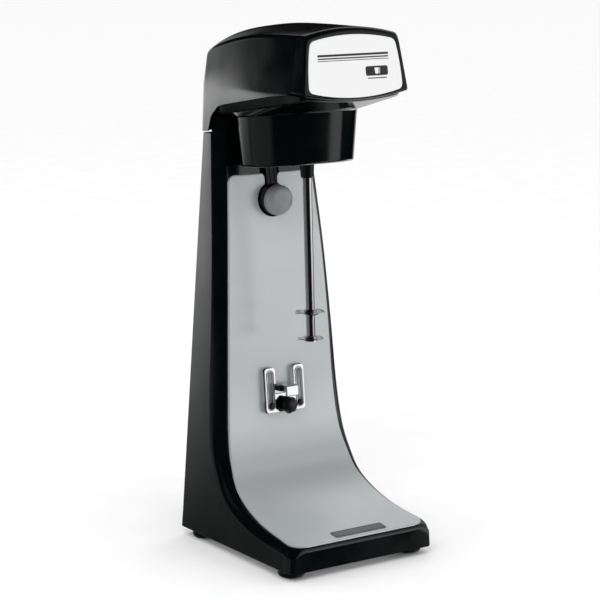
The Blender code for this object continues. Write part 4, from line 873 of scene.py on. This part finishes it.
def make_cover():
    """Head cover: a shell that is open below and in front."""
    front = BEZEL_SEAM_Y + SEAM_GAP
    straight = [front + (REAR_Y - COVER_CORNER - front) * i / 40 for i in range(41)]
    round_rear = [REAR_Y - COVER_CORNER * (1 - math.sin(turn)) for turn in quarter_turn(10)[1:]]
    cover = loft("cover_shell", [cover_ring(y, 0.0, HEAD_LOW_Z) for y in straight + round_rear])
    inner = [front - 5] + straight[:-1:5]
    inner += [REAR_Y - COVER_WALL - COVER_CORNER * part for part in (0.6, 0.35, 0.15, 0.04)]
    line = [(y, z + SEAM_GAP / 2) for y, z in through(SEAM_LINE, 10)]
    below = plate("below", [line + [(line[-1][0], 380.0), (line[0][0], 380.0)]], 160.0)
    opening = block("opening", (30, *(size + 0.6 for size in ROCKER_SIZE)))
    cut(
        cover, loft("hollow", [cover_ring(y, COVER_WALL, HEAD_LOW_Z - 5) for y in inner]),
        moved(below, turn=FACING_SIDE), moved(opening, ROCKER_SEAT, rocker_turn()),
    )
    rounded(cover, 0.5, 2, 50)
    show(cover, "head_cover")


def front_outline(top_edge, low_edge, side_bow, corner, inset):
    """An outline on the head's front, between two (half width, z, bow) edges: (x, z) points."""
    top_x, top_z, top_bow = top_edge
    low_x, low_z, low_bow = low_edge
    top_x, top_z, low_x, low_z = top_x - inset, top_z - inset, low_x - inset, low_z + inset
    count = 24
    top, low, side = [], [], []
    for i in (0, *range(2, count - 1), count):
        t = 1 - 2 * i / count
        top.append((top_x * t, top_z + top_bow * (1 - t ** 2)))
        low.append((-low_x * t, low_z - low_bow * (1 - t ** 2)))
    for i in range(2, 15):
        share = i / 16
        bow = 4 * side_bow * share * (1 - share)
        side.append((top_x + (low_x - top_x) * share + bow, top_z + (low_z - top_z) * share))
    points = top + [(-x, z) for x, z in side] + low + list(reversed(side))
    corners = {(sign * x, z) for x, z in ((top_x, top_z), (low_x, low_z)) for sign in (-1, 1)}
    return filleted(points, corner, 8, limit=math.inf, corners=corners)


def bezel_front_y(z):
    """Depth of the leaning front plane at a height."""
    return BEZEL_LOW_Y + (z - BEZEL_LOW_Z) * (BEZEL_TOP_Y - BEZEL_LOW_Y) / (BEZEL_TOP_Z - BEZEL_LOW_Z)


def bezel_ring(inset, behind=None):
    """A section of the bezel's outside: at the flat rear seam, or a distance behind the leaning front."""
    outline = front_outline(BEZEL_TOP_EDGE, BEZEL_LOW_EDGE, 0.0, BEZEL_CORNER, inset)
    return [(x, BEZEL_SEAM_Y if behind is None else bezel_front_y(z) + behind, z) for x, z in outline]


def soft_bezel_ring(inset, behind):
    """A section of the bezel's outer edge, whose rounding is larger along the top."""
    ring = []
    for near, far in zip(bezel_ring(inset, behind), bezel_ring(inset * 2.2, behind * 2.2)):
        ring.append(tuple(Vector(near).lerp(Vector(far), step(near[2], 503.0, 514.0))))
    return ring


def plate_ring(inset, behind):
    """A section of the nameplate or its recess, a distance behind the leaning front."""
    outline = front_outline(PLATE_TOP_EDGE, PLATE_LOW_EDGE, PLATE_SIDE_BOW, PLATE_CORNER, inset)
    return [(x, bezel_front_y(z) + behind, z) for x, z in outline]


def make_bezel():
    """Front frame of the head, and the nameplate set into it."""
    outside = ((0.0, 2.2), (0.08, 1.5), (0.35, 0.85), (0.8, 0.35), (1.4, 0.06), (1.9, 0.0))
    inside = (
        (-0.75, 0.0), (-0.35, 0.1), (-0.1, 0.35), (0.0, 0.8), (0.0, PLATE_THICKNESS),
        (PLATE_LEDGE, PLATE_THICKNESS),
    )
    rings = [bezel_ring(0.25), [(x, y - 0.25, z) for x, y, z in bezel_ring(0)]]
    rings += [soft_bezel_ring(*part) for part in outside] + [plate_ring(*part) for part in inside]
    rings.append([(x, BEZEL_SEAM_Y, z) for x, _, z in plate_ring(PLATE_LEDGE, 0.0)])
    show(loft("bezel_frame", rings, closed=True), "front_bezel")
    face = ((0.3, PLATE_THICKNESS - 0.3), (0.3, 0.1), (0.36, -0.15), (0.5, -0.3), (0.8, -0.4), (1.5, -0.4))
    show(loft("plate_face", [plate_ring(*part) for part in face]), "nameplate")


def make_plate_marks():
    """Generic marks on the plate: graded stripes, and a dark badge with a cup over a thin rule."""
    lean = math.atan2(BEZEL_TOP_Y - BEZEL_LOW_Y, BEZEL_TOP_Z - BEZEL_LOW_Z)
    turn = Matrix.Rotation(-lean, 3, X_AXIS) @ FACING_FRONT
    cup = filleted([(-2.6, 2.9), (-1.8, -2.9), (1.8, -2.9), (2.6, 2.9)], 0.6)
    straw = [(3.4, 2.9), (4.1, 2.9), (3.4, -2.9), (2.7, -2.9)]
    marks = {
        "plate_rule_wide": ([rounded_rectangle(81.0, 2.0, 0.6)], (-1.3, 494.5)),
        "plate_rule_narrow": ([rounded_rectangle(81.0, 1.2, 0.5)], (-1.3, 491.7)),
        "plate_rule_fine": ([rounded_rectangle(81.0, 0.6, 0.25)], (-1.3, 489.6)),
        "plate_badge": ([rounded_rectangle(25.7, 9.0, 2.0), cup, straw], (24.6, 478.6)),
        "plate_badge_rule": ([rounded_rectangle(22.0, 0.9, 0.4)], (24.6, 471.9)),
    }
    for name, (outlines, (x, z)) in marks.items():
        mark = moved(plate(name, outlines, 0.12), (x, bezel_front_y(z) - 0.44, z), turn)
        show(mark, "nameplate", stands_for=False, look="mark_ink")


def flange_z(x, y):
    """Lower edge of the flange, which bows down under the bezel."""
    bow = BEZEL_LOW_EDGE[2] * (1 - min(abs(x) / FLANGE[0], 1) ** 2)
    share = min(max((-y - 40.0) / 44.0, 0.0), 1.0)
    return value_at(FLANGE_LOW_Z, y) - bow * share


def pot_z(plane, y):
    """Height of a plane that rises towards the front."""
    height, slope = plane
    return height - slope * (y - SPINDLE.y)


def pot_ring(end, inset, rise=0.0):
    """A section of the pot near one of its ends."""
    (half_x, half_y, centre_y), plane = end
    points = superellipse(half_x - inset, half_y - inset, centre_y, POT_ROUNDNESS, HEAD_POINTS)
    return [(x, y, pot_z(plane, y) + rise) for x, y in points]


def flange_points(inset, front_inset=0.0):
    """The flange's outline."""
    half_x, half_y, centre_y = FLANGE
    points = superellipse(half_x - inset, half_y - inset, centre_y, FLANGE_SQUARENESS, HEAD_POINTS)
    return [(x, max(y, centre_y - half_y + front_inset)) for x, y in points]


def make_motor_shell():
    """Motor housing: the pot, the flange above it and the chin under the bezel, in one shell."""
    seam = sorted(through(SEAM_LINE, 10))
    limit = BEZEL_SEAM_Y + SEAM_GAP

    def seam_z(y):
        i = max(j for j in range(len(seam) - 1) if seam[j][0] <= y)
        (y0, z0), (y1, z1) = seam[i], seam[i + 1]
        return z0 + (z1 - z0) * (y - y0) / (y1 - y0) - SEAM_GAP / 2

    def bezel_low(x):
        half_width, low_z, bow = BEZEL_LOW_EDGE
        return low_z - bow * (1 - min(abs(x) / half_width, 1) ** 2) - SEAM_GAP

    def top_z(x, y):
        return bezel_low(x) if y < limit else seam_z(y)

    hole = [
        (SPINDLE_HOLE * math.cos(a), SPINDLE.y + SPINDLE_HOLE * math.sin(a)) for a in full_turn(HEAD_POINTS)
    ]
    rings = [[(x, y, pot_z(POT_BOTTOM[1], y) + rise) for x, y in hole] for rise in (MOTOR_WALL, 0.0)]
    for t in (0.0, 0.35, 0.7, 1.05, 1.35, math.pi / 2):
        inset, rise = POT_EDGE_RADIUS * (1 - math.sin(t)), POT_EDGE_RADIUS * (1 - math.cos(t))
        rings.append(pot_ring(POT_BOTTOM, inset, rise))
    for inset, rise in ((0.0, -1.6), (-0.15, -0.9), (-0.6, -0.3), (-1.4, 0.0)):
        rings.append(pot_ring(POT_TOP, inset, rise))
    for inset, rise in ((2.4, 0.0), (1.9, 0.1), (1.4, 0.35), (1.05, 0.8), (0.9, 1.5)):
        rings.append([(x, y, flange_z(x, y) + rise) for x, y in flange_points(inset)])
    for inset, drop, least in ((0.0, 0.3, 1.6), (0.3, 0.0, 1.7)):
        rings.append([
            (x, y, max(top_z(x, y) - drop, flange_z(x, y) + least)) for x, y in flange_points(inset)
        ])
    ledge = [(x, max(y, limit)) for x, y in flange_points(0.8)]
    rings.append([(x, y, seam_z(y) if y > limit else min(bezel_low(x), seam_z(y))) for x, y in ledge])
    rings.append([(x, y, seam_z(y)) for x, y in ledge])
    inner = flange_points(MOTOR_WALL, 36.0)
    rings.append([(x, y, seam_z(y)) for x, y in inner])
    rings.append([(x, y, flange_z(x, y) + MOTOR_WALL) for x, y in inner])
    rings += [pot_ring(end, MOTOR_WALL, MOTOR_WALL) for end in (POT_TOP, POT_BOTTOM)]
    show(loft("motor_shell", rings, closed=True), "motor_housing")


# Spindle and agitators

def on_spindle(made):
    """Puts a piece made along Z on the leaning spindle."""
    return moved(made, SPINDLE, SPINDLE_TURN)


def make_agitator(node, radius, height, waves, depth):
    """A wavy mixing disc with a hub."""
    sides, steps, half_thick, bore, hub = 144, 10, 0.55, SPINDLE_RADIUS + 0.15, 6.3
    reaches = [hub + (radius - hub) * k / steps for k in range(steps + 1)]
    rings = []
    for turn in full_turn(sides):
        wave = depth * math.sin(waves * turn)
        lifts = [wave * ((reach - hub) / (radius - hub)) ** 1.5 for reach in reaches]
        top = [(reach, lift + half_thick) for reach, lift in zip(reaches, lifts)]
        low = [(reach, lift - half_thick) for reach, lift in zip(reaches, lifts)]
        rim = [(radius + 0.35 * math.cos(a), lifts[-1] + half_thick * math.sin(a)) for a in (0.8, 0.0, -0.8)]
        section = [(bore, 2.6), (hub - 0.4, 2.6), (hub, 2.2)] + top[:-1] + rim + low[-2::-1]
        section += [(hub, -2.2), (hub - 0.4, -2.6), (bore, -2.6)]
        rings.append([(reach * math.cos(turn), reach * math.sin(turn), height + z) for reach, z in section])
    show(on_spindle(loft(f"{node}_disc", rings, closed=True)), node)


def make_spindle():
    """Coupling under the pot, the mixing shaft and its two agitators."""
    coupling = filleted((
        (0.0, 2.0), (4.3, 2.0), (4.3, 7.0), (6.9, 7.0), (7.35, 6.2), (7.0, 0.0), (6.4, -8.6),
        (5.9, -10.2), (4.8, -10.8), (4.8, -4.0), (0.0, -4.0),
    ), 0.6, 4, closed=False)
    show(on_spindle(turned("coupling_collar", coupling)), "spindle_coupling")
    radius, end = SPINDLE_RADIUS, SPINDLE_END
    shaft = [(0.0, -4.4), (radius, -4.4)]
    shaft += [(radius, -4.4 + (end + 5.8) * k / 24) for k in range(1, 25)]
    shaft += [(radius - 0.15, end + 0.6), (radius - 0.5, end + 0.2), (radius - 1.2, end), (0.0, end)]
    show(on_spindle(turned("mixing_shaft", shaft, 96)), "spindle_shaft")
    make_agitator("agitator_upper", 14.4, -142.6, 4, 0.9)
    make_agitator("agitator_lower", 12.4, SPINDLE_END + 3.2, 6, 0.5)


# Start lever

def make_start_lever():
    """Ribbed lever with a round black head, and its domed grey cap."""
    drop = CAP_MIDDLE.z - PIVOT.z
    front_top, front_low = 61.0 - PIVOT.y, LEVER_HEAD_BACK_Y - 4.0 - PIVOT.y
    parts = []
    ribs = ((0.0, 2 * NECK_HALF_WIDTH, 0.7), (-5.0, 2.4, 0.0), (0.0, 3.0, 0.0), (5.0, 2.4, 0.0))
    for x, width, back in ribs:
        web = [
            (front_low + back, drop + 4), (front_low + 4.2, drop + 4), (front_top + 4.2, -6.0), (-1.0, -5.0),
            *arc((0, 0), 5.0, -60, 90, 12), (front_top + 2.0 + back, 5.0), (front_top + back, 3.0),
        ]
        part = plate("web", [web, arc((0, 0), 2.4, 0, 345, 23)], width)
        parts.append(moved(part, (PIVOT.x + x, PIVOT.y, PIVOT.z), FACING_SIDE))
    half, radius = (LEVER_HEAD_BACK_Y - CAP_BACK_Y) / 2, CAP_RADIUS + 0.2
    profile = filleted(((0, half), (radius, half), (radius, -half), (0, -half)), 0.9, 4, closed=False)
    head = turned("head", profile, 96)
    parts.append(moved(head, (0, (LEVER_HEAD_BACK_Y + CAP_BACK_Y) / 2, CAP_MIDDLE.z), FACING_FRONT))
    parts[0].name = "lever_arm"
    lever = cut(parts[0], *parts[1:], operation="UNION")
    show(lever, "actuator_lever")
    depth = CAP_BACK_Y - CAP_LOW.y
    profile = (
        (0.0, depth), (5.0, depth - 0.05), (9.0, depth - 0.25), (11.4, depth - 0.7), (13.0, depth - 1.4),
        (14.2, depth - 2.3), (14.9, depth - 3.4), (CAP_RADIUS, depth - 4.8), (CAP_RADIUS, 3.5),
        (CAP_RADIUS - 0.3, 3.1), (CAP_RADIUS - 0.9, 3.0), (CAP_RADIUS - 0.9, 2.2), (CAP_RADIUS - 0.3, 2.1),
        (CAP_RADIUS, 1.7), (CAP_RADIUS, 0.7), (CAP_RADIUS - 0.4, 0.3), (0.0, 0.3),
    )
    cap = turned("cap_button", filleted(profile, 0.25, 2, closed=False), 128)
    show(moved(cap, (0, CAP_BACK_Y, CAP_MIDDLE.z), FACING_FRONT), "actuator_cap")


# Speed rocker

def make_rocker():
    """Rocker switch: a frame with a pocket in the cover's side, and the rocker that tips in it."""
    turn = rocker_turn()
    outward = turn @ Matrix.Rotation(math.pi / 2, 3, Y_AXIS) @ Matrix.Rotation(math.pi / 2, 3, Z_AXIS)
    length, height = ROCKER_SIZE
    rings = []
    for depth, width, tall, corner in (
        (-10.4, length, height, 2.0), (0.9, length, height, 2.0), (1.4, length - 0.4, height - 0.4, 1.8),
        (1.6, length - 1.2, height - 1.2, 1.4), (1.6, 25.0, 17.0, 1.4), (1.4, 24.3, 16.3, 1.1),
        (0.9, 24.0, 16.0, 1.0), (-8.4, 24.0, 16.0, 1.0),
    ):
        rings.append([(x, y, depth) for x, y in rounded_rectangle(width, tall, corner)])
    show(moved(loft("rocker_surround", rings), ROCKER_SEAT, outward), "rocker_frame")
    paddle = filleted([(-3.2, -5.6), (3.4, -6.6), (2.5, 0.0), (3.4, 6.6), (-3.2, 5.6)], 1.0, 4)
    rocker = rounded(plate("rocker_paddle", [paddle], 22.0), 0.5, 3)
    hinge, _ = joint("speed_rocker_tip")
    tilt = turn @ Matrix.Rotation(math.radians(-9.0), 3, Y_AXIS) @ FACING_FRONT
    show(moved(rocker, hinge, tilt), "speed_rocker")


# Cup rest

def on_rest(made, place=(0, 0, 0), turn=FACING_FRONT):
    """Puts a piece made in XY on the tilted cup rest, facing front."""
    return moved(made, REST + REST_TURN @ Vector(place), REST_TURN @ turn)


def bead(name, outline, half_width, height):
    """A low round bead along a closed outline, on the plane z = 0."""
    rings = []
    for i, point in enumerate(outline):
        along = Vector(outline[(i + 1) % len(outline)]) - Vector(outline[i - 1])
        across = Vector((along.y, -along.x)).normalized() * half_width
        rings.append([
            (*(Vector(point) + across * math.cos(a)), height * math.sin(a)) for a in full_turn(12)
        ])
    return loft(name, rings, closed=True)


def guide_slot(side, margin=0.0):
    """Outline of a slot in the cup rest, or one a margin outside it."""
    width, length = SLOT_WIDTH + 2 * margin, SLOT_LENGTH + 2 * margin
    return rounded_rectangle(width, length, width / 2 - 0.01, (side * GUIDE_X, 0.0), 12)


def make_cup_rest():
    """Slotted bracket with the cup's ledge, on two guide screws."""
    x, z, inner = REST_HALF_WIDTH, REST_HALF_HEIGHT, REST_HALF_WIDTH - PRONG_WIDTH
    bar_top, r = 4.0, 3.0
    gap = [(inner, z / 2), (inner, bar_top), (-inner, bar_top), (-inner, z / 2)]
    outline = arc((x - r, z - r), r, 0, 90, 8) + arc((inner + r, z - r), r, 90, 180, 8)
    outline += filleted(gap, 1.6, closed=False)
    outline += arc((-inner - r, z - r), r, 0, 90, 8) + arc((-x + r, z - r), r, 90, 180, 8)
    outline += arc((-x + r, -z + r), r, 180, 270, 8) + arc((x - r, -z + r), r, 270, 360, 8)
    slots = [guide_slot(side) for side, _ in SIDES]
    hole = arc((0.0, -16.0), 2.6, 0, 345, 23)
    bracket = rounded(plate("bracket_plate", [outline, *slots, hole], REST_THICKNESS), 0.6, 4)
    show(on_rest(bracket), "cup_rest_bracket")
    for side, name in SIDES:
        rim = bead(f"slot_rim_{name}", guide_slot(side, 0.95), 0.75, 0.55)
        show(on_rest(rim, (0, -REST_THICKNESS / 2, 0)), "cup_rest_bracket", stands_for=False)
    ledge = [(-1.3, 5.6), (-14.4, 4.3), (-14.4, -6.4), (-11.6, -6.4), (-11.6, -1.2), (-1.3, -2.2)]
    ledge = rounded(plate("ledge_block", [filleted(ledge, 1.0)], 14.0), 0.5, 4)
    show(on_rest(ledge, turn=FACING_SIDE), "cup_ledge")
    # Painted shadow: a thin black sheet, a little larger than the bracket, sits just behind it. It darkens
    # the gap to the liner and the insides of the slots, where shade falls.
    wider = [(1.02 * x, 1.02 * z) for x, z in outline]
    shadow_sheet = rounded(plate("bracket_shadow_sheet", [wider, *slots], 0.8), 0.2, 2)
    on_rest(shadow_sheet, (0, REST_THICKNESS / 2 + 0.45, 0))
    show(shadow_sheet, "cup_rest_bracket", stands_for=False, look="black_matte")
    make_knob()
    for side, name in SIDES:
        screw = turned(f"guide_screw_head_{name}", (
            (0, 3.2), (1.6, 3.12), (2.6, 2.8), (3.4, 2.2), (3.7, 1.6), (3.65, 1.3), (2.1, 1.3), (2.1, -11.0),
            (0, -11.0),
        ), 64)
        cut(screw, *cross_recess(3.6, 2.2, 3.2))
        on_rest(screw, (side * GUIDE_X, 0.0, -SLOT_LENGTH / 2 + SLOT_WIDTH / 2))
        show(screw, f"guide_screw_{name}", look="dark_steel")


def make_knob():
    """Lobed clamp knob with a domed front."""
    lobes, count, size, lobe_height = 7, 140, 8.35, 0.35
    rings = []
    for share, depth, lobe in (
        (0.0, 4.5, 0.0), (0.3, 4.45, 0.0), (0.55, 4.2, 0.15), (0.75, 3.7, 0.5), (0.88, 2.9, 0.8),
        (0.96, 1.9, 1.0), (1.0, 0.8, 1.0), (1.0, -1.6, 1.0), (0.96, -3.0, 1.0), (0.88, -3.9, 0.8),
        (0.74, -4.4, 0.4), (0.6, -4.5, 0.0),
    ):
        ring = []
        for turn in full_turn(count):
            reach = max(size * share, 0.01) + lobe_height * lobe * math.cos(lobes * turn)
            ring.append((reach * math.cos(turn), reach * math.sin(turn), depth))
        rings.append(ring)
    place = KNOB + REST_TURN @ Vector((0, -7.8, 0))
    show(moved(loft("knob_grip", rings), place, REST_TURN @ FACING_FRONT), "clamp_knob")


def dress_frame():
    """Gives every CAD node that still shows its procedural material."""
    for node, made in frame["nodes"].items():
        if not made.hide_render:
            for slot in made.material_slots:
                slot.material = FINISH[SLOT_OF[node]]


SCENE.view_settings.view_transform = "Standard"
make_camera()
make_world()
make_light("key", location=(-1.6, -1.4, 2.2), target=(0, 0, 0.25), size=1.2, power=16.0)
make_floor()
make_column()
make_liner()
make_label()
make_rear_panel()
make_feet()
make_cover()
make_bezel()
make_plate_marks()
make_motor_shell()
make_spindle()
make_start_lever()
make_rocker()
make_cup_rest()
dress_frame()
